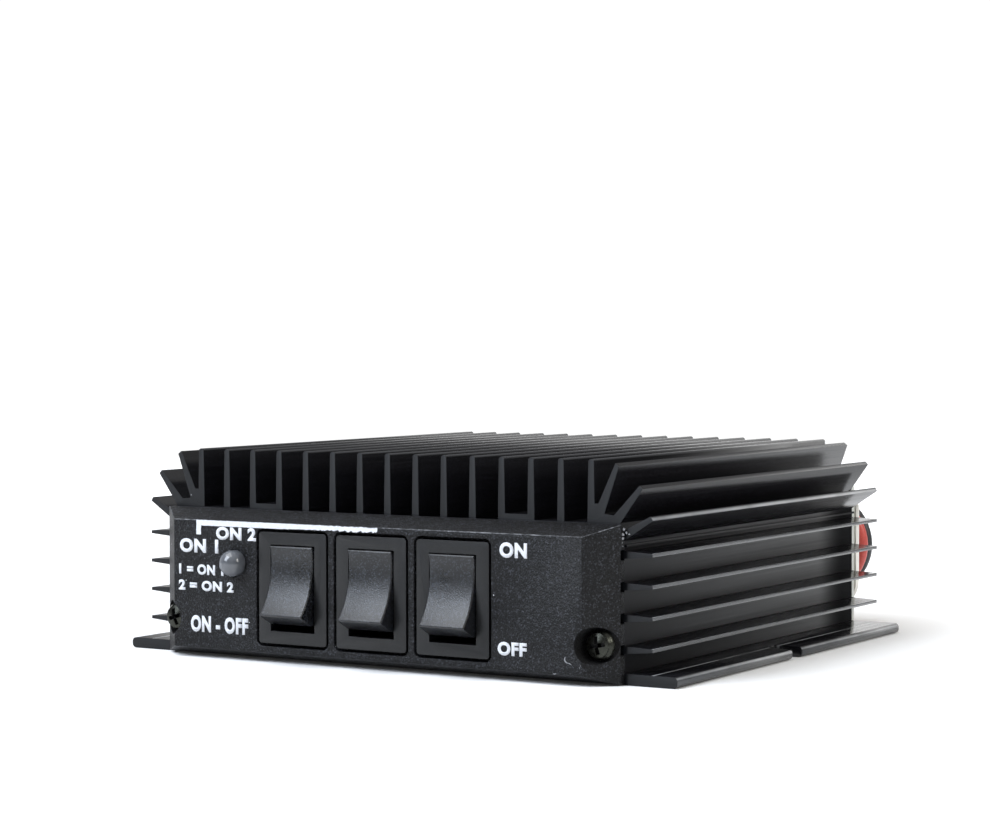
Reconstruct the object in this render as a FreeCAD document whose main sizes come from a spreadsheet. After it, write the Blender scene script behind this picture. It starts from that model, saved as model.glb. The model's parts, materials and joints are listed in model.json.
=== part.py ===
import FreeCAD, Part
import math
import os
import Sketcher
from FreeCAD import Placement, Rotation, Vector

# A compact mobile HF linear amplifier: a finned extruded case with mounting flanges, a moulded
# front panel with three rocker switches and a lamp, and a rear plate with two coaxial sockets and
# the supply lead. Millimetres. X runs across, Y from front to back, Z up, and the origin is the
# middle of the underside.
sizes = {
    # extruded case
    "caseLength": 100.0,
    "flangeSpan": 121.0,
    "flangeThickness": 2.0,
    "flangeTipRadius": 0.8,
    "caseWidth": 100.0,
    "cavityWidth": 93.6,
    "cavityTop": 24.0,
    "railWidth": 80.0,
    "railTop": 10.5,
    "railSlope": 2.0,
    "finPitch": 6.185,
    "finRoot": 1.5,
    "finTip": 1.1,
    "finTop": 39.9,
    "finBase": 27.0,
    "floorMiddle": 27.5,
    "floorRaised": 29.5,
    "floorOuter": 28.5,
    "sideFinPitch": 5.6,
    "sideFinLowest": 6.2,
    "sideFinRoot": 1.4,
    "sideFinTip": 0.6,
    "sideFinSpan": 111.2,
    "ridgeHeight": 24.6,
    "ridgeSize": 0.5,
    "mountSlotWidth": 4.5,
    "mountSlotDepth": 6.0,
    "portDiameter": 3.0,
    "portDepth": 9.0,
    # bottom cover
    "coverThickness": 2.0,
    "coverWidth": 92.0,
    "coverScrewX": 42.6,
    "coverScrewY": 38.0,
    "clearHole": 3.3,
    # front panel
    "rimWidth": 100.2,
    "rimDepth": 1.4,
    "rimBottom": 0.2,
    "rimTop": 28.4,
    "panelDepth": 6.4,
    "faceWidth": 90.0,
    "faceBottom": 1.9,
    "faceTop": 26.4,
    "panelSkin": 3.0,
    "hollowWidth": 85.0,
    "hollowBottom": 3.6,
    "hollowTop": 24.6,
    "panelScrewX": 46.7,
    "panelScrewZ": 7.2,
    "counterbore": 6.4,
    "panelSeatRise": 0.9,
    "rimNotch": 1.8,
    # rocker switches
    "switchPitch": 17.7,
    "switchMiddle": 0.5,
    "switchHeight": 14.2,
    "bezelWidth": 15.4,
    "bezelHeight": 21.0,
    "bezelCorner": 0.6,
    "bezelThickness": 1.9,
    "bezelSunk": 0.1,
    "pocketWidth": 16.4,
    "pocketHeight": 22.2,
    "pocketCorner": 1.4,
    "pocketDepth": 2.0,
    "mouthWidth": 10.0,
    "mouthHeight": 16.3,
    "housingWidth": 12.9,
    "housingHeight": 19.1,
    "housingCavityWidth": 10.6,
    "housingCavityHeight": 17.1,
    "housingDepth": 12.5,
    "housingFloor": 3.5,
    "pivotDepth": 3.5,
    "pivotDiameter": 2.0,
    "pivotLength": 12.4,
    "pivotClearance": 0.05,
    "rockerWidth": 9.6,
    "rockerLipOut": 6.0,
    "rockerLipUp": 6.65,
    "rockerDish": 14.2,
    "rockerWaistOut": 1.9,
    "rockerWaistUp": 7.5,
    "rockerTilt": 15.3,
    "bladeWidth": 4.8,
    "bladeThickness": 0.8,
    "bladeLength": 7.0,
    "bladePitch": 6.6,
    # lamp
    "lampX": -30.6,
    "lampZ": 18.5,
    "lampDiameter": 5.0,
    "lampRim": 5.8,
    "lampProud": 0.7,
    # rear plate and sockets
    "plateThickness": 1.5,
    "plateWidth": 99.8,
    "plateBottom": 0.2,
    "plateTop": 30.4,
    "socketX": 37.6,
    "socketZ": 17.4,
    "socketSquare": 25.4,
    "socketFlange": 1.7,
    "socketScrewOffset": 9.1,
    "barrelDiameter": 15.88,
    "barrelBore": 12.4,
    "barrelLength": 13.5,
    "contactDiameter": 5.5,
    "contactBore": 4.0,
    "plateHole": 16.2,
    "grommetHole": 8.0,
    "grommetNose": 2.0,
    # supply lead
    "wireDiameter": 2.2,
    "wirePitch": 2.3,
    "coilX": 8.0,
    "coilY": 84.5,
    "coilBottom": 0.6,
    "coilInner": 8.7,
    "coilOuter": 15.7,
    "coilHeight": 4.6,
    # circuit board
    "boardWidth": 88.0,
    "boardFront": -24.0,
    "boardBack": 40.0,
    "boardTop": 19.2,
    "boardThickness": 1.6,
    "boardScrewX": 40.5,
    "boardScrewY": 28.0,
    "transistorPitch": 18.0,
    "transistorHoleY": 6.0,
    "accessHole": 7.0,
    # screws, M3
    "screwDiameter": 2.9,
    "panHead": 5.5,
    "panHeadHeight": 2.1,
    "crossWidth": 0.75,
    "crossLength": 3.2,
    "crossDepth": 1.3,
    "sunkHead": 5.6,
    "sunkHeadHeight": 1.7,
}
# Each corner fin is a slanting blade: inner root, inner tip, outer tip and outer root in X and Z.
cornerFins = {
    "steep": ((44.3, 30.83), (48.2, 39.15), (48.9, 38.6), (45.65, 29.3)),
    "diagonal": ((47.39, 29.36), (53.0, 35.3), (53.6, 34.7), (48.76, 27.99)),
    "low": ((49.48, 27.03), (55.2, 29.95), (55.65, 29.25), (49.43, 25.12)),
}
# The stepped shoulder between the last upright fin and the side wall.
shoulder = ((44.8, 31.9), (46.0, 30.1), (47.9, 29.9), (49.2, 28.6), (50.0, 27.3))

doc = FreeCAD.newDocument("linear_amplifier")
dims = doc.addObject("Spreadsheet::Sheet", "dims")
for finName, corners in cornerFins.items():
    for corner, (x, z) in zip("ABCD", corners):
        sizes[f"{finName}Fin{corner}across"] = x
        sizes[f"{finName}Fin{corner}up"] = z
for corner, (x, z) in zip("ABCDE", shoulder):
    sizes[f"shoulder{corner}across"] = x
    sizes[f"shoulder{corner}up"] = z
for row, (alias, value) in enumerate(sizes.items(), 1):
    dims.set(f"A{row}", alias)
    dims.set(f"B{row}", str(value))
    dims.setAlias(f"B{row}", alias)
doc.recompute()

nodes = []
toFront = Rotation(Vector(1, 0, 0), 90)
toBack = Rotation(Vector(1, 0, 0), -90)
toFloor = Rotation(Vector(1, 0, 0), 180)
upright = Rotation()


def size(expression):
    """The value in millimetres of an expression on the dimension sheet."""
    value = dims.evalExpression(str(expression).replace("dims.", ""))
    return float(getattr(value, "Value", value))


def minus(expression):
    return f"-({expression})"


def node(item, label):
    """Marks an object as one sub-part of the amplifier."""
    item.Label = label
    nodes.append(item)
    return item


def place(item, x=0, y=0, z=0, rotation=upright):
    item.Placement = Placement(Vector(size(x), size(y), size(z)), rotation)
    for axis, expression in (("x", x), ("y", y), ("z", z)):
        item.setExpression(f"Placement.Base.{axis}", str(expression))
    return item


def originPlane(body, role):
    return next(plane for plane in body.Origin.OriginFeatures if plane.Role == role)


def sketchOn(body, role, offset=0):
    """A sketch on one of its body's origin planes, moved along the plane's normal."""
    sketch = body.newObject("Sketcher::SketchObject", body.Name + "_sketch")
    sketch.AttachmentSupport = [(originPlane(body, role), "")]
    sketch.MapMode = "FlatFace"
    sketch.setExpression("AttachmentOffset.Base.z", str(offset))
    return sketch


def bind(sketch, kind, where, expression):
    index = sketch.addConstraint(Sketcher.Constraint(kind, *where, size(expression)))
    sketch.setExpression(f"Constraints[{index}]", str(expression))


def pinPoint(sketch, edge, end, corner):
    """Holds a point of the sketch at its two coordinates from the sketch's origin."""
    for kind, axis, expression in (("DistanceX", -2, corner[0]), ("DistanceY", -1, corner[1])):
        if abs(size(expression)) < 1e-9:
            sketch.addConstraint(Sketcher.Constraint("PointOnObject", edge, end, axis))
        else:
            bind(sketch, kind, (-1, 1, edge, end), expression)


def arcBetween(start, end, radius, side):
    """An arc that bulges to one side of the way from start to end."""
    chord = end - start
    sagitta = radius - math.sqrt(radius ** 2 - (chord.Length / 2) ** 2)
    left = Vector(-chord.y, chord.x, 0).normalize()
    if side == "left":
        return Part.Arc(end, (start + end) / 2 + left * sagitta, start)
    return Part.Arc(start, (start + end) / 2 - left * sagitta, end)


def outline(sketch, corners):
    """A closed outline. A corner is (x, y), or (x, y, radius, side) where an arc that bulges to
    that side leads to it from the corner before."""
    points = [Vector(size(corner[0]), size(corner[1]), 0) for corner in corners]
    edges = []
    for i, corner in enumerate(corners):
        before = points[i - 1]
        if len(corner) == 4:
            bow = arcBetween(before, points[i], size(corner[2]), corner[3])
            ends = (2, 1) if corner[3] == "left" else (1, 2)
            edges.append((sketch.addGeometry(bow, False), *ends))
            continue
        line = sketch.addGeometry(Part.LineSegment(before, points[i]), False)
        edges.append((line, 1, 2))
    for i, (edge, start, end) in enumerate(edges):
        following = edges[(i + 1) % len(edges)]
        joint = Sketcher.Constraint("Coincident", edge, end, following[0], following[1])
        sketch.addConstraint(joint)
        pinPoint(sketch, edge, end, corners[i][:2])
        if len(corners[i]) == 4:
            bind(sketch, "Radius", (edge,), corners[i][2])


def rectangle(sketch, width, height, x=0, y=0):
    left, right = f"{x} - ({width}) / 2", f"{x} + ({width}) / 2"
    low, high = f"{y} - ({height}) / 2", f"{y} + ({height}) / 2"
    outline(sketch, ((left, low), (right, low), (right, high), (left, high)))


def roundedRectangle(sketch, width, height, radius, x=0, y=0):
    """A rectangle with its four corners rounded, its arcs tangent to its sides."""
    insideX, insideY = f"(({width}) / 2 - {radius})", f"(({height}) / 2 - {radius})"
    r = size(radius)
    centres = []
    arcs = []
    for quarter, (sx, sy) in enumerate((("+", "+"), ("-", "+"), ("-", "-"), ("+", "-"))):
        centre = (f"{x} {sx} {insideX}", f"{y} {sy} {insideY}")
        centres.append(centre)
        circle = Part.Circle(Vector(size(centre[0]), size(centre[1]), 0), Vector(0, 0, 1), r)
        start = quarter * math.pi / 2
        arc = Part.ArcOfCircle(circle, start, start + math.pi / 2)
        arcs.append(sketch.addGeometry(arc, False))
    for i, arc in enumerate(arcs):
        following = arcs[(i + 1) % 4]
        start = sketch.getPoint(arc, 2)
        end = sketch.getPoint(following, 1)
        side = sketch.addGeometry(Part.LineSegment(start, end), False)
        sketch.addConstraint(Sketcher.Constraint("Tangent", arc, 2, side, 1))
        sketch.addConstraint(Sketcher.Constraint("Tangent", side, 2, following, 1))
        direction = "Horizontal" if i % 2 == 0 else "Vertical"
        sketch.addConstraint(Sketcher.Constraint(direction, side))
    for arc in arcs[1:]:
        sketch.addConstraint(Sketcher.Constraint("Equal", arcs[0], arc))
    bind(sketch, "Radius", (arcs[0],), radius)
    pinPoint(sketch, arcs[0], 3, centres[0])
    pinPoint(sketch, arcs[2], 3, centres[2])


def circle(sketch, diameter, x=0, y=0):
    centre = Vector(size(x), size(y), 0)
    ring = sketch.addGeometry(Part.Circle(centre, Vector(0, 0, 1), size(diameter) / 2), False)
    pinPoint(sketch, ring, 3, (x, y))
    bind(sketch, "Radius", (ring,), f"({diameter}) / 2")


def pad(body, sketch, length, reverse=False, symmetric=False):
    feature = body.newObject("PartDesign::Pad", body.Name + "_pad")
    feature.Profile = sketch
    feature.Reversed = reverse
    feature.SideType = "Symmetric" if symmetric else "One side"
    feature.setExpression("Length", str(length))
    doc.recompute()
    return feature


def pocket(body, sketch, depth, reverse=False, symmetric=False):
    """Cuts a pocket, and makes sure that it took material away."""
    before = body.Shape.Volume
    feature = body.newObject("PartDesign::Pocket", body.Name + "_pocket")
    feature.Profile = sketch
    feature.Reversed = reverse
    feature.SideType = "Symmetric" if symmetric else "One side"
    feature.setExpression("Length", str(depth))
    doc.recompute()
    if body.Shape.Volume > before - 1e-3:
        raise ValueError(f"{feature.Name} cuts nothing")
    return feature


def drill(body, role, offset, spots, diameter, depth, reverse=False):
    """Round holes of one diameter and depth, from one plane."""
    sketch = sketchOn(body, role, offset)
    for x, y in spots:
        circle(sketch, diameter, x, y)
    return pocket(body, sketch, depth, reverse)


def fillet(body, radius, wanted):
    """Rounds the edges of the body's last feature whose middle point is wanted."""
    last = body.Tip
    names = []
    for i, edge in enumerate(last.Shape.Edges, 1):
        if wanted(edge, edge.CenterOfMass):
            names.append(f"Edge{i}")
    feature = body.newObject("PartDesign::Fillet", body.Name + "_fillet")
    feature.Base = (last, names)
    feature.setExpression("Radius", str(radius))
    doc.recompute()
    return feature


def newBody(name):
    return doc.addObject("PartDesign::Body", name)


def turned(name, profile):
    """A body turned about its own Z axis. The profile is radius and height."""
    body = newBody(name)
    sketch = sketchOn(body, "XZ_Plane")
    outline(sketch, profile)
    spin = body.newObject("PartDesign::Revolution", name + "_turn")
    spin.Profile = sketch
    spin.ReferenceAxis = (sketch, ["V_Axis"])
    spin.Angle = 360
    doc.recompute()
    return body


def copies(label, master, spots):
    """One node that holds several equal solids, each at (x, y, z, rotation)."""
    links = []
    for x, y, z, rotation in spots:
        link = doc.addObject("App::Link", master.Name + "_copy")
        link.LinkedObject = master
        links.append(place(link, x, y, z, rotation))
    return group(label, links)


def group(label, items):
    compound = doc.addObject("Part::Compound", label)
    compound.Links = items
    return node(compound, label)


def primitive(kind, name, **values):
    item = doc.addObject("Part::" + kind, name)
    for key, expression in values.items():
        item.setExpression(key, str(expression))
    return item


def block(name, low, high):
    """A box between two corners given by expressions."""
    box = primitive(
        "Box",
        name,
        Length=f"{high[0]} - ({low[0]})",
        Width=f"{high[1]} - ({low[1]})",
        Height=f"{high[2]} - ({low[2]})",
    )
    return place(box, *low)


def rod(name, diameter, length, x, y, z, rotation=upright):
    item = primitive("Cylinder", name, Radius=f"({diameter}) / 2", Height=length)
    return place(item, x, y, z, rotation)


def cut(name, base, tool):
    result = doc.addObject("Part::Cut", name)
    result.Base = base
    result.Tool = tool
    return result


def fuse(name, items):
    result = doc.addObject("Part::MultiFuse", name)
    result.Shapes = items
    return result


def tubePath(points):
    """Straight runs joined by tangent arcs, each as large as its two runs allow, and the radii."""
    places = [Vector(*point) for point in points]
    edges = []
    radii = []
    start = places[0]
    for before, corner, after in zip(places, places[1:], places[2:]):
        arriving = (corner - before).normalize()
        leaving = (after - corner).normalize()
        half = arriving.getAngle(leaving) / 2
        reach = 0.45 * min((corner - before).Length, (after - corner).Length)
        radius = reach / math.tan(half)
        enter = corner - arriving * reach
        leave = corner + leaving * reach
        inward = (leaving - arriving).normalize()
        middle = corner + inward * (radius / math.cos(half) - radius)
        edges.append(Part.LineSegment(start, enter).toShape())
        edges.append(Part.Arc(enter, middle, leave).toShape())
        radii.append(radius)
        start = leave
    edges.append(Part.LineSegment(start, places[-1]).toShape())
    return Part.Wire(edges), radii


def tube(points, diameter):
    """A round solid along the path, with its volume compared with section times length."""
    path, radii = tubePath(points)
    heading = Vector(*points[1]) - Vector(*points[0])
    ring = Part.Circle(Vector(*points[0]), heading, diameter / 2)
    section = Part.Wire([ring.toShape()])
    solid = path.makePipeShell([section], True, False)
    expected = math.pi * diameter ** 2 / 4 * path.Length
    if abs(solid.Volume - expected) > 0.01 * expected:
        raise ValueError(f"tube volume {solid.Volume:.2f}, expected {expected:.2f}")
    return solid, path.Length, radii


def tubes(label, routes, diameter):
    """A node with one or more round wires."""
    solids = []
    for route in routes:
        solid, length, radii = tube(route, diameter)
        print(f"{label}: {length:.1f} long, radii", *(f"{radius:.1f}" for radius in radii))
        solids.append(solid)
    feature = doc.addObject("Part::Feature", label)
    feature.Shape = solids[0] if len(solids) == 1 else Part.makeCompound(solids)
    return node(feature, label)


# Heights and places that several pieces share.
halfLength = "dims.caseLength / 2"
panelFace = "dims.caseLength / 2 + dims.panelDepth"
rimPlane = "dims.caseLength / 2 + dims.rimDepth"
seatPlane = "dims.caseLength / 2 + dims.rimDepth + dims.panelSeatRise"
skinPlane = "dims.caseLength / 2 + dims.panelDepth - dims.panelSkin"
boardUnder = "dims.boardTop - dims.boardThickness"
housingBack = "dims.bezelSunk + dims.bezelThickness + dims.housingDepth"
switchPlaces = {
    "left": "dims.switchMiddle - dims.switchPitch",
    "middle": "dims.switchMiddle",
    "right": "dims.switchMiddle + dims.switchPitch",
}
socketPlaces = {"input": "-dims.socketX", "output": "dims.socketX"}
socketScrews = [
    (f"{x} {across} dims.socketScrewOffset", f"dims.socketZ {up} dims.socketScrewOffset")
    for x in socketPlaces.values()
    for across in "+-"
    for up in "+-"
]
# The lower inner screw of each socket has a nut behind the plate; the others enter the case.
nutScrews = [
    (f"{x} {across} dims.socketScrewOffset", "dims.socketZ - dims.socketScrewOffset")
    for x, across in ((socketPlaces["input"], "+"), (socketPlaces["output"], "-"))
]
caseScrews = [spot for spot in socketScrews if spot not in nutScrews]
panelScrews = [("-dims.panelScrewX", "dims.panelScrewZ"), ("dims.panelScrewX", "dims.panelScrewZ")]
coverScrews = [(f"{a}dims.coverScrewX", f"{b}dims.coverScrewY") for a in ("-", "") for b in ("-", "")]
boardMiddle = "(dims.boardFront + dims.boardBack) / 2"
boardScrews = [
    (f"{a}dims.boardScrewX", f"{boardMiddle} {b} dims.boardScrewY") for a in ("-", "") for b in "+-"
]
transistorHoles = [
    (f"dims.transistorPitch * {step}", "dims.transistorHoleY") for step in (-1.5, -0.5, 0.5, 1.5)
]


def finnedCase():
    """The extrusion: an inverted trough with a thick finned roof and two mounting flanges."""
    body = newBody("heatsink")
    half = [
        ("dims.finPitch * 4", "dims.floorMiddle"),
        ("dims.finPitch * 4", "dims.floorRaised"),
        ("dims.finPitch * 5", "dims.floorRaised"),
        ("dims.finPitch * 5", "dims.floorOuter"),
        ("dims.finPitch * 7", "dims.floorOuter"),
        ("dims.finPitch * 7", "dims.shoulderAup"),
    ]
    half += [(f"dims.shoulder{c}across", f"dims.shoulder{c}up") for c in "ABCDE"]
    half += [
        ("dims.caseWidth / 2", "dims.flangeThickness"),
        ("dims.flangeSpan / 2", "dims.flangeThickness"),
        ("dims.flangeSpan / 2", 0),
        ("dims.coverWidth / 2 + 0.2", 0),
        ("dims.coverWidth / 2 + 0.2", "dims.coverThickness"),
        ("dims.railWidth / 2", "dims.coverThickness"),
        ("dims.railWidth / 2", "dims.railTop"),
        ("dims.cavityWidth / 2", "dims.railTop + dims.railSlope"),
        ("dims.cavityWidth / 2", "dims.cavityTop"),
    ]
    mirrored = [(minus(x), z) for x, z in reversed(half)]
    shell = sketchOn(body, "XZ_Plane", halfLength)
    outline(shell, half + mirrored)
    pad(body, shell, "dims.caseLength", reverse=True)

    def flangeTip(edge, middle):
        return abs(abs(middle.x) - size("dims.flangeSpan / 2")) < 1e-3 and edge.Length > 50

    fillet(body, "dims.flangeTipRadius", flangeTip)
    uprightFins(body)
    slantingFins(body)
    sideFins(body)
    mountSlots(body)
    drill(body, "XZ_Plane", halfLength, panelScrews, "dims.portDiameter", "dims.portDepth")
    drill(body, "XZ_Plane", minus(halfLength), caseScrews, "dims.portDiameter", "dims.portDepth", True)
    roofHoles = boardScrews + transistorHoles
    drill(body, "XY_Plane", "dims.cavityTop", roofHoles, "dims.portDiameter", 2.9, True)
    drill(body, "XY_Plane", "dims.coverThickness", coverScrews, "dims.portDiameter", 5, True)
    return node(body, "heatsink")


def uprightFins(body):
    """Fifteen tapered fins with round tops, patterned across the roof."""
    sketch = sketchOn(body, "XZ_Plane", halfLength)
    middle = "-7 * dims.finPitch"
    straightTop = "dims.finTop - dims.finTip / 2"
    outline(
        sketch,
        (
            (f"{middle} - dims.finRoot / 2", "dims.finBase"),
            (f"{middle} - dims.finTip / 2", straightTop),
            (f"{middle} + dims.finTip / 2", straightTop, "dims.finTip / 2 + 0.02", "left"),
            (f"{middle} + dims.finRoot / 2", "dims.finBase"),
        ),
    )
    first = pad(body, sketch, "dims.caseLength", reverse=True)
    row = body.newObject("PartDesign::LinearPattern", "upright_fins")
    row.Originals = [first]
    row.Direction = (sketch, ["H_Axis"])
    row.setExpression("Length", "14 * dims.finPitch")
    row.Occurrences = 15
    body.Tip = row
    doc.recompute()


def slantingFins(body):
    """The three slanting blades on each shoulder."""
    sketch = sketchOn(body, "XZ_Plane", halfLength)
    for finName in cornerFins:
        right = [(f"dims.{finName}Fin{c}across", f"dims.{finName}Fin{c}up") for c in "ABCD"]
        outline(sketch, right)
        outline(sketch, [(minus(x), z) for x, z in reversed(right)])
    pad(body, sketch, "dims.caseLength", reverse=True)


def sideFins(body):
    """Four thin fins and a small ridge along each side wall."""
    sketch = sketchOn(body, "XZ_Plane", halfLength)
    inside, tip = "dims.caseWidth / 2 - 0.5", "dims.sideFinSpan / 2"
    blades = []
    for step in range(4):
        level = f"(dims.sideFinLowest + {step} * dims.sideFinPitch)"
        blades.append(
            [
                (inside, f"{level} - dims.sideFinRoot / 2"),
                (tip, f"{level} - dims.sideFinTip / 2 + 0.1"),
                (tip, f"{level} + dims.sideFinTip / 2 + 0.1"),
                (inside, f"{level} + dims.sideFinRoot / 2"),
            ]
        )
    proud = "dims.caseWidth / 2 + dims.ridgeSize"
    low, high = "dims.ridgeHeight - 0.2", "dims.ridgeHeight + 0.2"
    blades.append([(inside, low), (proud, low), (proud, high), (inside, high)])
    for blade in blades:
        outline(sketch, blade)
        outline(sketch, [(minus(x), z) for x, z in reversed(blade)])
    pad(body, sketch, "dims.caseLength", reverse=True)


def mountSlots(body):
    """An open slot with a round end in the middle of each flange."""
    slots = sketchOn(body, "XY_Plane")
    inner = "dims.flangeSpan / 2 - dims.mountSlotDepth + dims.mountSlotWidth / 2"
    outer = "dims.flangeSpan / 2 + 1"
    for sign in ("", "-"):
        outline(
            slots,
            (
                (f"{sign}({inner})", "-dims.mountSlotWidth / 2"),
                (f"{sign}({outer})", "-dims.mountSlotWidth / 2"),
                (f"{sign}({outer})", "dims.mountSlotWidth / 2"),
                (f"{sign}({inner})", "dims.mountSlotWidth / 2"),
            ),
        )
    pocket(body, slots, "dims.flangeThickness", reverse=True)
    ends = [(inner, 0), (minus(inner), 0)]
    drill(body, "XY_Plane", 0, ends, "dims.mountSlotWidth", "dims.flangeThickness", True)


def bottomCover():
    """A flat plate let in between the flanges, with countersunk holes."""
    body = newBody("cover_blank")
    sketch = sketchOn(body, "XY_Plane")
    rectangle(sketch, "dims.coverWidth", "dims.caseLength - 0.4")
    for x, y in coverScrews:
        circle(sketch, "dims.clearHole", x, y)
    pad(body, sketch, "dims.coverThickness")
    cones = []
    for i, (x, y) in enumerate(coverScrews):
        cone = primitive(
            "Cone",
            f"countersink_{i}",
            Radius1="dims.sunkHead / 2 + 0.1",
            Radius2="dims.clearHole / 2",
            Height="dims.sunkHeadHeight",
        )
        cones.append(place(cone, x, y, 0))
    return node(cut("cover_plate", body, fuse("countersinks", cones)), "bottom_cover")


def frontPanel():
    """A moulded panel: a chamfered shell with pockets for the three switches."""
    body = newBody("front_panel")
    rim = sketchOn(body, "XZ_Plane", rimPlane)
    middle, height = "(dims.rimTop + dims.rimBottom) / 2", "dims.rimTop - dims.rimBottom"
    rectangle(rim, "dims.rimWidth", height, 0, middle)
    pad(body, rim, "dims.rimDepth", reverse=True)
    rear = sketchOn(body, "XZ_Plane", rimPlane)
    rectangle(rear, "dims.rimWidth", height, 0, middle)
    face = sketchOn(body, "XZ_Plane", panelFace)
    middle, height = "(dims.faceTop + dims.faceBottom) / 2", "dims.faceTop - dims.faceBottom"
    rectangle(face, "dims.faceWidth", height, 0, middle)
    taper = body.newObject("PartDesign::AdditiveLoft", "panel_chamfer")
    taper.Profile = rear
    taper.Sections = [face]
    taper.Ruled = True
    doc.recompute()
    hollow = sketchOn(body, "XZ_Plane", skinPlane)
    outline(
        hollow,
        (
            ("-dims.hollowWidth / 2", "dims.hollowBottom"),
            ("dims.hollowWidth / 2", "dims.hollowBottom"),
            ("dims.hollowWidth / 2", "dims.hollowTop"),
            ("-dims.hollowWidth / 2", "dims.hollowTop"),
        ),
    )
    pocket(body, hollow, "dims.panelDepth - dims.panelSkin")
    wells = sketchOn(body, "XZ_Plane", panelFace)
    mouths = sketchOn(body, "XZ_Plane", panelFace)
    for x in switchPlaces.values():
        roundedRectangle(
            wells, "dims.pocketWidth", "dims.pocketHeight", "dims.pocketCorner", x, "dims.switchHeight"
        )
        rectangle(mouths, "dims.housingWidth + 0.3", "dims.housingHeight + 0.3", x, "dims.switchHeight")
    pocket(body, wells, "dims.pocketDepth")
    pocket(body, mouths, "dims.panelSkin")
    lamp = [("dims.lampX", "dims.lampZ")]
    drill(body, "XZ_Plane", panelFace, lamp, "dims.lampDiameter + 0.1", "dims.panelSkin")
    seatDepth = "dims.panelDepth - dims.rimDepth - dims.panelSeatRise"
    drill(body, "XZ_Plane", panelFace, panelScrews, "dims.counterbore", seatDepth)
    drill(body, "XZ_Plane", seatPlane, panelScrews, "dims.clearHole", "dims.rimDepth + dims.panelSeatRise")
    notches = sketchOn(body, "XZ_Plane", rimPlane)
    for step in range(4):
        level = f"(dims.sideFinLowest + {step} * dims.sideFinPitch)"
        for side in ("", "-"):
            rectangle(notches, 2, "dims.rimNotch", f"{side}(dims.rimWidth / 2 + 0.2)", level)
    pocket(body, notches, "dims.rimDepth")
    return node(body, "front_panel")


def rockerSwitch(name, x):
    """A snap-in rocker switch: its housing, whose origin is the rocker's pivot."""
    body = newBody(name)
    front = "dims.pivotDepth - dims.bezelSunk"
    back = "dims.pivotDepth - dims.bezelSunk - dims.bezelThickness"
    bezel = sketchOn(body, "XZ_Plane", front)
    roundedRectangle(bezel, "dims.bezelWidth", "dims.bezelHeight", "dims.bezelCorner")
    rectangle(bezel, "dims.mouthWidth", "dims.mouthHeight")
    pad(body, bezel, "dims.bezelThickness", reverse=True)
    walls = sketchOn(body, "XZ_Plane", back)
    rectangle(walls, "dims.housingWidth", "dims.housingHeight")
    rectangle(walls, "dims.housingCavityWidth", "dims.housingCavityHeight")
    pad(body, walls, "dims.housingDepth - dims.housingFloor", reverse=True)
    floor = sketchOn(body, "XZ_Plane", f"{back} - (dims.housingDepth - dims.housingFloor)")
    rectangle(floor, "dims.housingWidth", "dims.housingHeight")
    pad(body, floor, "dims.housingFloor", reverse=True)
    bearing = sketchOn(body, "YZ_Plane")
    circle(bearing, "dims.pivotDiameter + 2 * dims.pivotClearance")
    pocket(body, bearing, "dims.housingWidth + 1", symmetric=True)
    place(body, x, minus(f"{panelFace} - dims.pivotDepth"), "dims.switchHeight")
    return node(body, name)


def rocker(name, x):
    """A dished rocker on two pivot pins. Its own Y axis runs into the switch."""
    body = newBody(name)
    lipY, lipZ = "-dims.rockerLipOut", "dims.rockerLipUp"
    waistY, waistZ = "-dims.rockerWaistOut", "dims.rockerWaistUp"
    profile = sketchOn(body, "YZ_Plane")
    outline(
        profile,
        (
            (waistY, waistZ),
            (0.3, 7.0),
            (0.9, 3.0),
            (4.4, 1.4),
            (4.4, -1.4),
            (0.9, -3.0),
            (0.3, -7.0),
            (waistY, minus(waistZ)),
            (lipY, minus(lipZ)),
            (lipY, lipZ, "dims.rockerDish", "right"),
        ),
    )
    pad(body, profile, "dims.rockerWidth", symmetric=True)

    def faceEdge(edge, middle):
        return middle.y < size("-dims.rockerLipOut") + 1.9

    fillet(body, 0.35, faceEdge)
    pins = sketchOn(body, "YZ_Plane")
    circle(pins, "dims.pivotDiameter")
    pad(body, pins, "dims.pivotLength", symmetric=True)
    tilt = Rotation(Vector(-1, 0, 0), 1)
    place(body, x, minus(f"{panelFace} - dims.pivotDepth"), "dims.switchHeight", tilt)
    body.setExpression("Placement.Rotation.Angle", "dims.rockerTilt")
    return node(body, name)


def switchTerminals():
    """Three flat blades behind each switch."""
    start = f"-({panelFace}) + {housingBack}"
    blades = []
    for side, x in switchPlaces.items():
        for step in (-1, 0, 1):
            level = f"dims.switchHeight + {step} * dims.bladePitch"
            low = (f"{x} - dims.bladeThickness / 2", start, f"{level} - dims.bladeWidth / 2")
            high = (
                f"{x} + dims.bladeThickness / 2",
                f"{start} + dims.bladeLength",
                f"{level} + dims.bladeWidth / 2",
            )
            blades.append(block(f"blade_{side}", low, high))
    return group("switch_terminals", blades)


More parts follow.
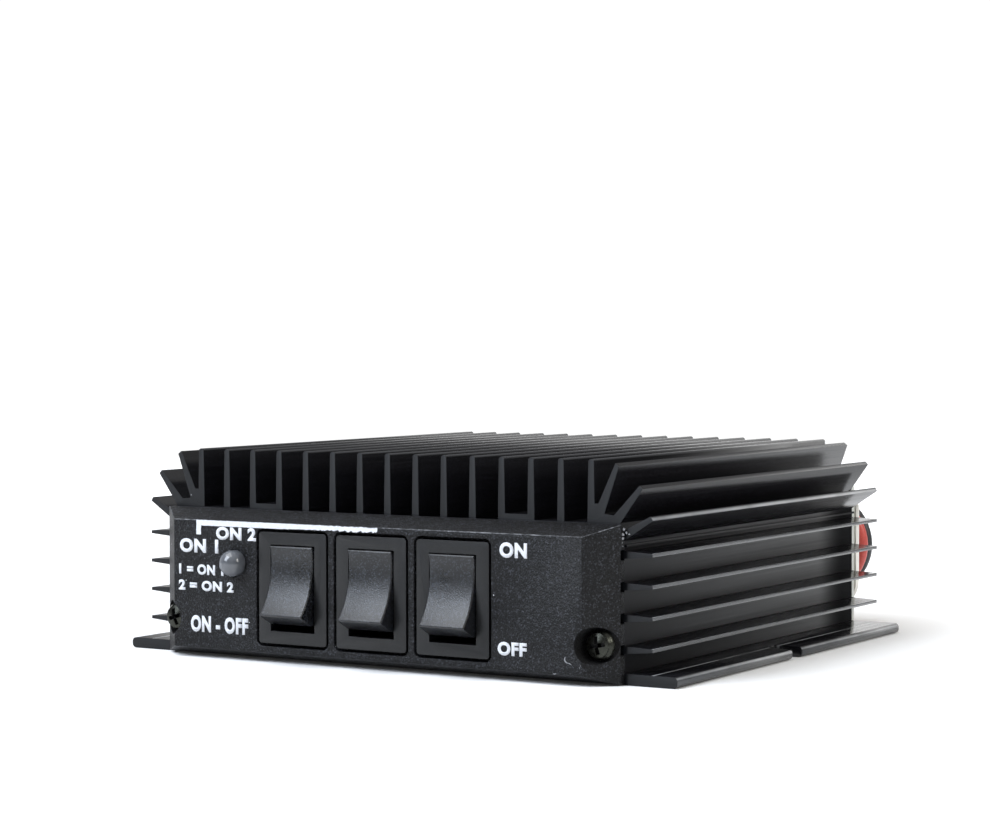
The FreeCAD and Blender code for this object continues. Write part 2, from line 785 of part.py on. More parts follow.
def statusLamp():
    """A round lamp with a domed end that has a tiny flat, a rim behind the panel and three legs."""
    radius, proud = "dims.lampDiameter / 2", "dims.lampProud"
    body = turned(
        "status_lamp",
        (
            (0, "-(dims.panelSkin + 1)"),
            ("dims.lampRim / 2", "-(dims.panelSkin + 1)"),
            ("dims.lampRim / 2", "-dims.panelSkin"),
            (radius, "-dims.panelSkin"),
            (radius, proud),
            (0.25, f"{proud} + {radius} - 0.02", f"{radius} + 0.02", "right"),
            (0, f"{proud} + {radius} - 0.02"),
        ),
    )
    place(body, "dims.lampX", minus(panelFace), "dims.lampZ", toFront)
    node(body, "status_lamp")
    back, z = f"-({panelFace}) + dims.panelSkin", "dims.lampZ"
    legs = []
    for step in (-1, 0, 1):
        x = f"dims.lampX + {step} * 1.27"
        low = (f"{x} - 0.25", f"{back} + 1", f"{z} - 0.25")
        legs.append(block("lamp_leg", low, (f"{x} + 0.25", f"{back} + 12", f"{z} + 0.25")))
    group("lamp_legs", legs)


def panScrew(name, length):
    """A pan-head screw with a cross recess. Its seat is at height 0 and its shank points down."""
    body = turned(
        name,
        (
            (0, minus(length)),
            ("dims.screwDiameter / 2", minus(length)),
            ("dims.screwDiameter / 2", 0),
            ("dims.panHead / 2", 0),
            ("dims.panHead / 2", "dims.panHeadHeight * 0.45"),
            ("dims.panHead / 2 - 0.9", "dims.panHeadHeight - 0.15"),
            (0, "dims.panHeadHeight"),
        ),
    )
    recess = sketchOn(body, "XY_Plane", "dims.panHeadHeight")
    a, b = "dims.crossLength / 2", "dims.crossWidth / 2"
    outline(
        recess,
        (
            (minus(a), minus(b)),
            (minus(b), minus(b)),
            (minus(b), minus(a)),
            (b, minus(a)),
            (b, minus(b)),
            (a, minus(b)),
            (a, b),
            (b, b),
            (b, a),
            (minus(b), a),
            (minus(b), b),
            (minus(a), b),
        ),
    )
    pocket(body, recess, "dims.crossDepth")
    return body


def sunkScrew(name, length):
    """A countersunk screw whose flat top is at height 0."""
    body = turned(
        name,
        (
            (0, minus(length)),
            ("dims.screwDiameter / 2", minus(length)),
            ("dims.screwDiameter / 2", "-dims.sunkHeadHeight"),
            ("dims.sunkHead / 2", 0),
            (0, 0),
        ),
    )
    slot = sketchOn(body, "XY_Plane")
    rectangle(slot, "dims.crossLength", "dims.crossWidth")
    pocket(body, slot, "dims.crossDepth * 0.7")
    return body


def rearPlate():
    body = newBody("rear_panel")
    sketch = sketchOn(body, "XZ_Plane", minus(halfLength))
    middle = "(dims.plateTop + dims.plateBottom) / 2"
    roundedRectangle(sketch, "dims.plateWidth", "dims.plateTop - dims.plateBottom", 1, 0, middle)
    for x in socketPlaces.values():
        circle(sketch, "dims.plateHole", x, "dims.socketZ")
    for x, z in socketScrews:
        circle(sketch, "dims.clearHole", x, z)
    circle(sketch, "dims.grommetHole + 0.1", 0, "dims.socketZ")
    pad(body, sketch, "dims.plateThickness", reverse=True)
    return node(body, "rear_panel")


def coaxSocket(side, x):
    """A square-flange coaxial socket: shell, insulator and centre contact, built along Z."""
    plane = f"{halfLength} + dims.plateThickness"
    shell = newBody(f"{side}_socket_shell")
    flange = sketchOn(shell, "XY_Plane")
    roundedRectangle(flange, "dims.socketSquare", "dims.socketSquare", 1.5)
    circle(flange, "dims.barrelBore")
    for a in ("", "-"):
        for b in ("", "-"):
            circle(flange, "dims.clearHole", f"{a}dims.socketScrewOffset", f"{b}dims.socketScrewOffset")
    pad(shell, flange, "dims.socketFlange")
    barrel = sketchOn(shell, "XY_Plane", "dims.socketFlange")
    circle(barrel, "dims.barrelDiameter")
    circle(barrel, "dims.barrelBore")
    pad(shell, barrel, "dims.barrelLength")
    place(shell, x, plane, "dims.socketZ", toBack)
    node(shell, f"{side}_socket_shell")
    length = "dims.socketFlange + dims.barrelLength"
    gap, bore = 0.05, "dims.contactDiameter / 2 + 0.05"
    insulator = turned(
        f"{side}_socket_insulator",
        (
            (bore, "-dims.plateThickness"),
            (f"dims.barrelBore / 2 - {gap}", "-dims.plateThickness"),
            (f"dims.barrelBore / 2 - {gap}", f"{length} - 2"),
            (bore, f"{length} - 2"),
        ),
    )
    place(insulator, x, plane, "dims.socketZ", toBack)
    node(insulator, f"{side}_socket_insulator")
    contact = turned(
        f"{side}_socket_contact",
        (
            (0, "-dims.plateThickness - 4"),
            (1.5, "-dims.plateThickness - 4"),
            (1.5, "-dims.plateThickness"),
            ("dims.contactDiameter / 2", "-dims.plateThickness"),
            ("dims.contactDiameter / 2", f"{length} - 1.5"),
            ("dims.contactBore / 2", f"{length} - 1.5"),
            ("dims.contactBore / 2", 1.2),
            (0, 1.2),
        ),
    )
    place(contact, x, plane, "dims.socketZ", toBack)
    node(contact, f"{side}_socket_contact")


def grommet():
    """A rubber bush that snaps into the rear plate and guards the two wires."""
    hole, bore = "dims.grommetHole / 2", "dims.wirePitch + 0.05"
    body = turned(
        "lead_grommet",
        (
            (bore, "-dims.plateThickness - 1.5"),
            (f"{hole} + 1.2", "-dims.plateThickness - 1.5"),
            (f"{hole} + 1.5", "-dims.plateThickness"),
            (hole, "-dims.plateThickness"),
            (hole, 0),
            (f"{hole} + 1.8", 0),
            (f"{hole} + 1.6", 1.2),
            (f"{hole} - 0.6", "dims.grommetNose"),
            (bore, "dims.grommetNose"),
        ),
    )
    place(body, 0, f"{halfLength} + dims.plateThickness", "dims.socketZ", toBack)
    return node(body, "lead_grommet")


def ringRoute(heading, apothem, turns, step):
    """Corners of a polygon round the output socket's barrel, in X and Z, going over the top and
    down: heading is the way in, in degrees above the X axis, and each corner turns by step."""
    far = apothem / math.cos(math.radians(step / 2))
    corners = []
    for k in range(turns):
        angle = math.radians(heading - step * (k + 0.5) + 90)
        x = size("dims.socketX") + far * math.cos(angle)
        corners.append((x, size("dims.socketZ") + far * math.sin(angle)))
    return corners


# The free part of each wire: out of the grommet, over the output socket's barrel, back under it
# and down to the coil. Each point is (x, y, z).
barrelLoop = ringRoute(15, 10.1, 4, 45)
redRoute = [
    (1.15, 53.5, 17.4),
    (1.15, 56.2, 17.4),
    (2.3, 59.3, 17.5),
    (4.65, 61.6, 17.8),
    (7.8, 62.75, 18.5),
    (13.5, 62.75, 20.2),
    (24.0, 62.75, 24.1),
    *[(x, 62.75, z) for x, z in barrelLoop],
    (32.0, 62.7, 5.0),
    (22.0, 62.8, 2.4),
    (12.5, 63.4, 1.3),
    (3.6, 65.4, 1.3),
    (-3.0, 69.6, 1.4),
    (-6.1, 75.4, 1.75),
    (-6.45, 80.4, 1.75),
]
blackRoute = [
    (-1.15, 53.5, 17.4),
    (-1.15, 56.8, 17.4),
    (0.27, 60.7, 17.5),
    (3.2, 63.65, 17.9),
    (7.2, 65.1, 18.6),
    (13.5, 65.1, 20.4),
    (24.0, 65.1, 24.2),
    *[(x, 65.1, z) for x, z in barrelLoop],
    (32.0, 65.1, 5.6),
    (22.0, 65.2, 4.6),
    (13.0, 65.6, 5.0),
    (4.6, 66.8, 5.9),
    (-2.0, 70.4, 6.4),
    (-5.7, 75.9, 6.45),
    (-6.45, 80.9, 6.45),
]


def supplyLead():
    """Two loose wires, each with a coil for its spare length, bound by one tie."""
    diameter = size("dims.wireDiameter")
    for colour, route in (("red", redRoute), ("black", blackRoute)):
        tubes(f"{colour}_wire", [route], diameter)
    for level, colour in enumerate(("red", "black")):
        z = f"dims.coilBottom + {level} * (dims.coilHeight + 0.1)"
        centre = ("dims.coilX", "dims.coilY", z)
        outer = rod(f"{colour}_coil_outside", "2 * dims.coilOuter", "dims.coilHeight", *centre)
        inner = rod(f"{colour}_coil_inside", "2 * dims.coilInner", "dims.coilHeight", *centre)
        node(cut(f"{colour}_coil_ring", outer, inner), f"{colour}_wire_coil")
    inside, outside = "dims.coilX + dims.coilInner - 0.2", "dims.coilX + dims.coilOuter"
    top = "dims.coilBottom + 2 * dims.coilHeight + 0.1"
    wall = "dims.coilBottom"
    band = block(
        "tie_outside",
        (f"{inside} - {wall} - 0.1", "dims.coilY - 1.5", 0),
        (f"{outside} + {wall} + 0.1", "dims.coilY + 1.5", f"{top} + 0.1 + {wall}"),
    )
    window = block(
        "tie_inside",
        (f"{inside} - 0.1", "dims.coilY - 2", wall),
        (f"{outside} + 0.1", "dims.coilY + 2", f"{top} + 0.1"),
    )
    node(cut("tie_loop", band, window), "coil_tie")


def circuitBoard():
    """The board hangs under the roof, with holes that reach the transistor screws."""
    body = newBody("circuit_board")
    sketch = sketchOn(body, "XY_Plane", boardUnder)
    rectangle(sketch, "dims.boardWidth", "dims.boardBack - dims.boardFront", 0, boardMiddle)
    for x, y in boardScrews:
        circle(sketch, "dims.clearHole", x, y)
    for x, y in transistorHoles:
        circle(sketch, "dims.accessHole", x, y)
    pad(body, sketch, "dims.boardThickness")
    node(body, "circuit_board")
    spacers = []
    for x, y in boardScrews:
        height = "dims.cavityTop - dims.boardTop"
        outer = rod("spacer_outside", 6, height, x, y, "dims.boardTop")
        inner = rod("spacer_bore", "dims.clearHole", height, x, y, "dims.boardTop")
        spacers.append(cut("spacer", outer, inner))
    group("board_spacers", spacers)


def transistors():
    """Four power transistors, clamped to the roof over thin insulators."""
    tabTop, parts, pads = "dims.cavityTop - 0.2", [], []
    for x, y in transistorHoles:
        low, high = (f"{x} - 5", f"{y} - 5.9", f"{tabTop} - 1.3"), (f"{x} + 5", f"{y} + 2.9", tabTop)
        tab = block("tab", low, high)
        low, high = (f"{x} - 5", f"{y} - 12.4", f"{tabTop} - 4.3"), (f"{x} + 5", f"{y} - 3.4", tabTop)
        case = block("case", low, high)
        legs = []
        for step in (-1, 0, 1):
            middle = f"{x} + {step} * 2.54"
            level = f"{tabTop} - 2.6"
            run = block(
                "leg_run",
                (f"{middle} - 0.4", f"{y} - 15.4", f"{level} - 0.25"),
                (f"{middle} + 0.4", f"{y} - 12.4", f"{level} + 0.25"),
            )
            drop = block(
                "leg_drop",
                (f"{middle} - 0.4", f"{y} - 15.4", "dims.boardTop"),
                (f"{middle} + 0.4", f"{y} - 14.9", f"{level} + 0.25"),
            )
            legs += [run, drop]
        hole = rod("tab_hole", 3.6, 3, x, y, f"{tabTop} - 2")
        parts.append(cut("transistor", fuse("transistor_body", [tab, case] + legs), hole))
        low, high = (f"{x} - 6", f"{y} - 13", tabTop), (f"{x} + 6", f"{y} + 4", "dims.cavityTop")
        sheet = block("insulator_sheet", low, high)
        opening = rod("insulator_hole", 3.6, 1, x, y, f"{tabTop} - 0.4")
        pads.append(cut("insulator", sheet, opening))
    group("power_transistors", parts)
    group("transistor_insulators", pads)


def ringCore(name, outer, inner, height, x, y, z, rotation=upright):
    shell = rod(f"{name}_outside", outer, height, x, y, z, rotation)
    return cut(name, shell, rod(f"{name}_inside", inner, height, x, y, z, rotation))


def boardParts():
    """The parts on the underside of the board."""
    under = boardUnder
    cores, sleeves = [], []
    for x in (-6.6, 6.6):
        cores.append(ringCore("output_core", 12.8, 6.4, 22.5, x, 13.5, f"{under} - 6.4", toBack))
        sleeves.append(ringCore("output_sleeve", 6.2, 5.2, 25.5, x, 12, f"{under} - 6.4", toBack))
    group("output_transformer_cores", cores)
    group("output_transformer_sleeves", sleeves)
    level = size(under) - 6.4
    bend = [(-6.6, 36), (-6.6, 13), (-3.8, 10.6), (3.8, 10.6), (6.6, 13), (6.6, 36)]
    tubes("output_transformer_winding", [[(x, y, level) for x, y in bend]], 2.0)
    cores = [ringCore("input_core", 7, 3, 12, x, -19, f"{under} - 3.5", toBack) for x in (-3.6, 3.6)]
    group("input_transformer_cores", cores)
    level = size(under) - 3.5
    bend = [(-3.6, -6), (-3.6, -19.5), (-1.8, -20.6), (1.8, -20.6), (3.6, -19.5), (3.6, -6)]
    tubes("input_transformer_winding", [[(x, y, level) for x, y in bend]], 1.2)
    relays = []
    for x, y in ((-30, -19), (31, 13)):
        low, high = (f"{x} - 7.5", y, f"{under} - 14"), (f"{x} + 7.5", f"{y} + 19", under)
        relays.append(block("relay", low, high))
    group("antenna_relays", relays)
    rings = ((30, -12.5), (-31.5, 16.4), (-31.5, 32.6))
    cores = [ringCore("filter_core", 13, 7, 5, x, y, f"{under} - 6.2") for x, y in rings]
    group("filter_cores", cores)
    turns = [turn for x, y in rings for turn in ringWinding(x, y, size(under) - 3.7)]
    group("filter_windings", turns)
    cans = [rod("can", 8, 11.5, -20.2, y, f"{under} - 11.5") for y in (15, 24, 33)]
    group("electrolytic_capacitors", cans)
    micas = []
    for x, y in ((20, 16), (20, 24), (20, 32), (18, -9), (18, -17), (-17, -9), (-17, -16)):
        low = (f"{x} - 3.2", f"{y} - 1.2", f"{under} - 6")
        micas.append(block("mica", low, (f"{x} + 3.2", f"{y} + 1.2", under)))
    group("mica_capacitors", micas)
    resistors = []
    for x in (-10.5, 10.5):
        low, high = (f"{x} - 2.5", -19, f"{under} - 5"), (f"{x} + 2.5", -5, under)
        resistors.append(block("resistor", low, high))
    group("damping_resistors", resistors)
    base = block("trimmer_base", (15.5, -3, f"{under} - 4.5"), (22.5, 4, under))
    rotor = rod("trimmer_rotor", 4, 0.8, 19, 0.5, f"{under} - 5.3")
    node(fuse("trimmer", [base, rotor]), "bias_trimmer")


def ringWinding(x, y, level):
    """Six turns of wire round one filter core, each a square loop with room round the core."""
    turns = []
    wire, inside, outside, reach = 0.8, 3.0, 6.8, 2.8
    for step in range(6):
        angle = 30 + 50 * step
        turn = Part.makeBox(
            outside - inside + 2 * wire,
            wire,
            2 * (reach + wire),
            Vector(inside - wire, -wire / 2, -reach - wire),
        )
        window = Part.makeBox(outside - inside, 2 * wire, 2 * reach, Vector(inside, -wire, -reach))
        feature = doc.addObject("Part::Feature", "winding_turn")
        feature.Shape = turn.cut(window)
        feature.Placement = Placement(Vector(x, y, level), Rotation(Vector(0, 0, 1), angle))
        turns.append(feature)
    return turns


def easedRoute(start, end, shares):
    """A route that leaves start and reaches end nearly parallel to the Y axis. Each share says how
    far a corner lies along Y, and how far across."""
    route = [start]
    for along, across in shares:
        x = start[0] + across * (end[0] - start[0])
        y = start[1] + along * (end[1] - start[1])
        route.append((x, y, start[2] + across * (end[2] - start[2])))
    return route + [end]


def innerWires():
    """The wires that stay inside the case. The thin ones end on the edge of the board, and the
    thick ones and the longest ones lie flat under it."""
    gentle = ((0.28, 0.05), (0.72, 0.95))
    steep = ((0.25, 0.04), (0.46, 0.32), (0.54, 0.68), (0.75, 0.96))
    edge = size("dims.boardTop - dims.boardThickness / 2")
    front, back = size("dims.boardFront"), size("dims.boardBack")
    level = size("dims.socketZ")
    contactEnd = size(f"{halfLength} - 4")
    links = []
    for x in (size(place) for place in socketPlaces.values()):
        links.append(easedRoute((x, contactEnd, level), (x, back, edge), gentle))
    tubes("socket_links", links, 1.2)
    wire = size("dims.wireDiameter")
    flat = size(boardUnder) - wire / 2
    pitch = size("dims.wirePitch") / 2
    exit = size(f"{halfLength} + dims.plateThickness + dims.grommetNose")
    supply = []
    for side in (-1, 1):
        supply.append(
            [
                (side * pitch, exit, level),
                (side * pitch, exit - 9.1, level),
                (side * 14.8, exit - 16.6, flat - 1.3),
                (side * 14.8, exit - 25.6, flat - 0.1),
            ]
        )
    tubes("supply_wires", supply, wire)
    thin = 1.3
    bladeEnd = size(f"-({panelFace}) + {housingBack} + dims.bladeLength")
    leads = []
    for x in (size(place) for place in switchPlaces.values()):
        for step in (-1, 0, 1):
            start = (x, bladeEnd, size(f"dims.switchHeight + {step} * dims.bladePitch"))
            if step < 0:
                under = size(boardUnder) - thin / 2 - 0.05
                leads.append(easedRoute(start, (x - 2.4, front + 2.4, under), steep))
            else:
                leads.append(easedRoute(start, (x + 2.4 * step, front, edge), gentle))
    tubes("switch_wires", leads, thin)
    legEnd = size(f"-({panelFace}) + dims.panelSkin + 12")
    leads = []
    for step in (-1, 0, 1):
        x = size("dims.lampX") + 1.27 * step
        level = size("dims.lampZ")
        leads.append([(x, legEnd, level), (x, -36.0, 17.6), (x, -29.6, 17.5), (x, front, edge)])
    tubes("lamp_wires", leads, 1.0)


def wireTips():
    """The bare tinned end of each wire, in line with the coil's outer turn."""
    radius = size("dims.coilOuter - dims.wireDiameter / 2")
    tips = []
    for level, angle in ((1, 90), (2, 68)):
        turn = math.radians(angle)
        along = Vector(math.sin(turn), -math.cos(turn), 0)
        start = Vector(math.cos(turn), math.sin(turn), 0) * radius + along * 5.2
        tip = rod(
            "tip",
            1.4,
            9,
            f"dims.coilX + {start.x:.3f}",
            f"dims.coilY + {start.y:.3f}",
            f"dims.coilBottom + {level} * (dims.coilHeight + 0.1) - 1.25",
            Rotation(Vector(0, 0, 1), along),
        )
        tips.append(tip)
    group("wire_tips", tips)


def fasteners():
    """The screws and nuts, as groups of equal pieces."""
    seat = minus(seatPlane)
    panel = panScrew("panel_screw", 9)
    copies("front_panel_screws", panel, [(x, seat, z, toFront) for x, z in panelScrews])
    seat = f"{halfLength} + dims.plateThickness + dims.socketFlange"
    socket = panScrew("socket_screw", 8)
    copies("socket_screws", socket, [(x, seat, z, toBack) for x, z in socketScrews])
    hexagon = primitive("Prism", "nut_hexagon", Circumradius=3.17, Height=2.4)
    nut = cut("nut", hexagon, rod("nut_bore", 3.0, 3, 0, 0, 0))
    copies("socket_nuts", nut, [(x, f"{halfLength} - 2.4", z, toBack) for x, z in nutScrews])
    cover = sunkScrew("cover_screw", 6)
    copies("bottom_cover_screws", cover, [(x, y, 0, toFloor) for x, y in coverScrews])
    board = panScrew("board_screw", 8.6)
    copies("board_screws", board, [(x, y, boardUnder, toFloor) for x, y in boardScrews])
    clamp = panScrew("clamp_screw", 4)
    tab = "dims.cavityTop - 1.5"
    copies("transistor_screws", clamp, [(x, y, tab, toFloor) for x, y in transistorHoles])


finnedCase()
bottomCover()
frontPanel()
for side, x in switchPlaces.items():
    rockerSwitch(f"{side}_switch_housing", x)
    rocker(f"{side}_rocker", x)
switchTerminals()
statusLamp()
rearPlate()
for side, x in socketPlaces.items():
    coaxSocket(side, x)
grommet()
supplyLead()
wireTips()
circuitBoard()
transistors()
boardParts()
innerWires()
fasteners()

doc.recompute()
for item in doc.Objects:
    if {"Invalid", "Error"} & set(item.State):
        raise ValueError(f"{item.Name}: {item.State}")
os.makedirs("parts", exist_ok=True)
for item in nodes:
    if item.Shape.isNull() or not item.Shape.isValid():
        raise ValueError(f"{item.Label} has no valid shape")
    item.Shape.exportStep(f"parts/{item.Label}.step")
    print(f"{item.Label}: {len(item.Shape.Solids)} solids, {item.Shape.Volume:.0f} mm3")
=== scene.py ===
import json
import math
import random

import bmesh
import bpy
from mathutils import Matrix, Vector


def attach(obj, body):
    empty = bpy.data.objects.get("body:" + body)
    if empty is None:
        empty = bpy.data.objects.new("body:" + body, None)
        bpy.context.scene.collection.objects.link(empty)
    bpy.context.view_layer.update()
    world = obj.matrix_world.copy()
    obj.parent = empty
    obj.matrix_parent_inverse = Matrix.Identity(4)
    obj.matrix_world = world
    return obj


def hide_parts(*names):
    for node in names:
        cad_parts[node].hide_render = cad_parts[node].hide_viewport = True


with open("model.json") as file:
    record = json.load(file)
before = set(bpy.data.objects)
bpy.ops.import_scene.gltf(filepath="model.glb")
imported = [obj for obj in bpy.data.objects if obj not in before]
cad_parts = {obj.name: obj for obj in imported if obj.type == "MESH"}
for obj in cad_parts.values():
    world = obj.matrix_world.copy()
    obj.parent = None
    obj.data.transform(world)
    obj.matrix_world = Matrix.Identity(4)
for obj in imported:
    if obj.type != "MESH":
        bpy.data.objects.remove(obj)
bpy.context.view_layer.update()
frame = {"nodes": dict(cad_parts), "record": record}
nodes = frame["nodes"]
scene = bpy.context.scene
mm = 0.001
print("frame loaded:", len(nodes), "nodes")


def linear(hexCode):
    parts = [int(hexCode[i:i + 2], 16) / 255 for i in (1, 3, 5)]
    return [c / 12.92 if c <= 0.04045 else ((c + 0.055) / 1.055) ** 2.4 for c in parts] + [1.0]


def perMetre(millimetres):
    return 1000.0 / millimetres


def feed(tree, node, inputs):
    # an input takes a value, a hex colour, a socket, or a node, which stands for its first working
    # output; the two ends of a range are given as one
    for key, value in inputs.items():
        if key in ("From", "To"):
            feed(tree, node, {f"{key} Min": value[0], f"{key} Max": value[1]})
            continue
        if isinstance(value, str):
            value = linear(value)
        if isinstance(value, bpy.types.Node):
            value = next(socket for socket in value.outputs if socket.enabled)
        if isinstance(value, bpy.types.NodeSocket):
            tree.links.new(value, node.inputs[key])
        else:
            node.inputs[key].default_value = value


def addNode(tree, kind, inputs=None, **settings):
    # a shader node's kind is given without its first two words
    made = tree.nodes.new(kind if "Node" in kind else f"ShaderNode{kind}")
    for name, value in settings.items():
        setattr(made, name, value)
    feed(tree, made, inputs or {})
    return made


def newMaterial(name, values):
    # a fresh node tree: shader, output and object coordinates in metres
    material = bpy.data.materials.new(name)
    material.use_nodes = True
    material.diffuse_color = linear(values["colour"])
    tree = material.node_tree
    tree.nodes.clear()
    shader = addNode(tree, "BsdfPrincipled", {"Base Color": values["colour"]})
    for key, socket in (("roughness", "Roughness"), ("metallic", "Metallic"), ("ior", "IOR"),
                        ("gloss", "Specular IOR Level")):
        if key in values:
            shader.inputs[socket].default_value = values[key]
    addNode(tree, "OutputMaterial", {"Surface": shader})
    return material, tree, shader, addNode(tree, "TexCoord").outputs["Object"]


def newObject(name, data):
    made = bpy.data.objects.new(name, data)
    scene.collection.objects.link(made)
    return made


def plainMesh(name, points, faces=()):
    mesh = bpy.data.meshes.new(name)
    mesh.from_pydata(points, [], faces)
    return mesh


def bakedMesh(holder, name):
    # what the holder shows, as a plain mesh; the holder goes
    bpy.context.view_layer.update()
    mesh = bpy.data.meshes.new_from_object(holder.evaluated_get(bpy.context.evaluated_depsgraph_get()))
    mesh.name = name
    bpy.data.objects.remove(holder)
    return mesh


def toMesh(work, name):
    mesh = bpy.data.meshes.new(name)
    work.to_mesh(mesh)
    work.free()
    return mesh


def carry(piece, slot, *nodeNames, body="case"):
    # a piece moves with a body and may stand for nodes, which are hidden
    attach(piece, body)
    if nodeNames:
        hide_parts(*nodeNames)


def circlePoints(count, radius=1.0, x=0.0, y=0.0):
    angles = [2 * math.pi * k / count for k in range(count)]
    return [(x + radius * math.cos(angle), y + radius * math.sin(angle)) for angle in angles]


def ease(value, low, high):
    share = min(max((value - low) / (high - low), 0.0), 1.0)
    return share * share * (3 - 2 * share)


cameraValues = {
    "place": (0.26999, -0.45806, 0.06239),  # metres
    "turn": (88.338, 0.068, 31.129),  # degrees
    "lens": 95.66,
    "sensor": 36.0,
    "nearest": 0.01,
}
lens = bpy.data.cameras.new("camera")
lens.lens = cameraValues["lens"]
lens.sensor_width = cameraValues["sensor"]
lens.clip_start = cameraValues["nearest"]
camera = newObject("camera", lens)
camera.location = cameraValues["place"]
camera.rotation_euler = [math.radians(angle) for angle in cameraValues["turn"]]
scene.camera = camera

studio = {
    "horizonFront": 0.06,  # light from low down on the camera's side
    "horizonBack": 1.32,  # light from low down behind the amplifier, brightest at the back left
    "backward": (-0.6, 0.8, 0.0),
    "backwardFade": (0.12, 0.95),  # how far round it fades in
    "middle": 0.24,  # a quarter of the way up
    "top": 0.55,
    "horizonFade": (0.12, 0.58),  # between these heights the horizon gives way
    "topFade": (0.3, 0.9),
    "backdrop": 1.05,  # what the camera sees behind the floor
}
softboxes = {
    "softbox": {"place": (-0.52, -0.88, 0.82), "aim": (0, -0.02, 0.02), "size": (0.65, 0.8),
                "power": 14.5, "colour": "#e9f2ff"},
    "overhead": {"place": (-0.4, -0.42, 1.35), "aim": (0, 0.0, 0.0), "size": (1.2, 0.9),
                 "power": 11, "colour": "#fafcff"},
    "fill": {"place": (0.9, -0.02, 0.5), "aim": (0.04, 0.03, 0.01), "size": (0.4, 0.4),
             "power": 3.2, "colour": "#fffdf6"},
}
world = bpy.data.worlds.new("studio")
world.use_nodes = True
scene.world = world
sky = world.node_tree
sky.nodes.clear()
direction = addNode(sky, "TexCoord").outputs["Generated"]
skyward = addNode(sky, "SeparateXYZ", {0: direction}).outputs["Z"]
backward = addNode(sky, "VectorMath", {0: direction, 1: studio["backward"]}, operation="DOT_PRODUCT")
horizon = addNode(sky, "MapRange", {
    "Value": backward, "From": studio["backwardFade"],
    "To": (studio["horizonFront"], studio["horizonBack"])}, interpolation_type="SMOOTHSTEP")
low = addNode(sky, "MapRange", {
    "Value": skyward, "From": studio["horizonFade"]},
    interpolation_type="SMOOTHSTEP")
height = addNode(sky, "MapRange", {
    "Value": skyward, "From": studio["topFade"],
    "To": (studio["middle"], studio["top"])}, interpolation_type="SMOOTHSTEP")
glow = addNode(sky, "Mix", {"Factor": low, "A": horizon, "B": height}, data_type="FLOAT")
seen = addNode(sky, "LightPath").outputs["Is Camera Ray"]
strength = addNode(sky, "Mix", {"Factor": seen, "A": glow, "B": studio["backdrop"]}, data_type="FLOAT")
backdrop = addNode(sky, "Background", {"Color": "#ffffff", "Strength": strength})
addNode(sky, "OutputWorld", {"Surface": backdrop})
scene.view_settings.view_transform = "Standard"

for name, values in softboxes.items():
    light = bpy.data.lights.new(name, "AREA")
    light.shape = "RECTANGLE"
    light.size, light.size_y = values["size"]
    light.energy = values["power"]
    light.color = linear(values["colour"])[:3]
    holder = newObject(name, light)
    holder.location = values["place"]
    holder.rotation_euler = (Vector(values["aim"]) - holder.location).to_track_quat("-Z", "Y").to_euler()

floorValues = {
    "colour": "#fdfdfd",
    "roughness": 0.9,
    "radius": 0.8,
    "sides": 96,
    "drop": 0.00005,  # just under the amplifier
    "glow": (0.02, 0.4),  # the paper is lit from beneath: least strength and most
    "shade": (-0.1, -0.2, 0.0),  # where it is lit least
    "glowFade": (0.2, 0.62),  # and how far from there the light grows
}
rim = [(x, y, -floorValues["drop"]) for x, y in circlePoints(floorValues["sides"], floorValues["radius"])]
floor = newObject("floor", plainMesh("floor", rim, [list(range(len(rim)))]))
# matt white paper, no visible grain
paper, paperTree, paperShader, place = newMaterial("seamlessPaper", floorValues)
away = addNode(paperTree, "VectorMath", {0: place, 1: floorValues["shade"]}, operation="DISTANCE")
shine = addNode(paperTree, "MapRange", {
    "Value": away, "From": floorValues["glowFade"],
    "To": floorValues["glow"]}, interpolation_type="SMOOTHSTEP")
feed(paperTree, paperShader, {"Emission Color": "#ffffff", "Emission Strength": shine})
floor.data.materials.append(paper)
print("camera, floor and light done")

# supply wires, in millimetres: each leaves the rear panel, goes round the output socket and along the
# floor, and its spare length is wound up
wireValues = {
    "diameter": 2.2,
    "coilCentre": (8.0, 84.5),
    "rings": (14.6, 12.25, 9.9, 12.25, 14.6),  # radii inwards on the lower layer, outwards on the upper
    "moves": ((0.88, 1.0), (1.88, 2.0), (3.54, 3.68), (4.54, 4.68)),  # turns in which the radius changes
    "climb": (2.68, 2.87),  # and the layer
    "wholeTurns": 5,
    "stepsPerTurn": 16,
    "cutsInside": 0.981,  # the smooth line runs this much inside its points
    "tail": (0.2, 2.6, 5.2),  # points on the straight end
    "roundness": 4,
    "smoothness": 6,
    "red": {"exit": 1.15, "from": 195.84, "to": 90, "lower": 1.75, "upper": 4.05},
    "black": {"exit": -1.15, "from": 193.99, "to": 68, "lower": 6.45, "upper": 8.75},
}
barrelTurn = [(39.0, 27.3), (45.7, 22.9), (47.7, 15.3), (43.5, 8.3)]
redWay = [(1.15, 53.5, 17.4), (1.15, 56.2, 17.4), (2.3, 59.3, 17.5), (4.65, 61.6, 17.8), (7.8, 62.75, 18.5),
          (13.5, 62.75, 20.2), (24.0, 62.75, 24.1), *[(x, 62.75, z) for x, z in barrelTurn],
          (32.0, 62.7, 5.0), (22.0, 62.8, 2.4), (12.5, 63.4, 1.3), (3.6, 65.4, 1.3), (-3.0, 69.6, 1.4),
          (-6.1, 75.4, 1.75), (-6.45, 80.4, 1.75)]
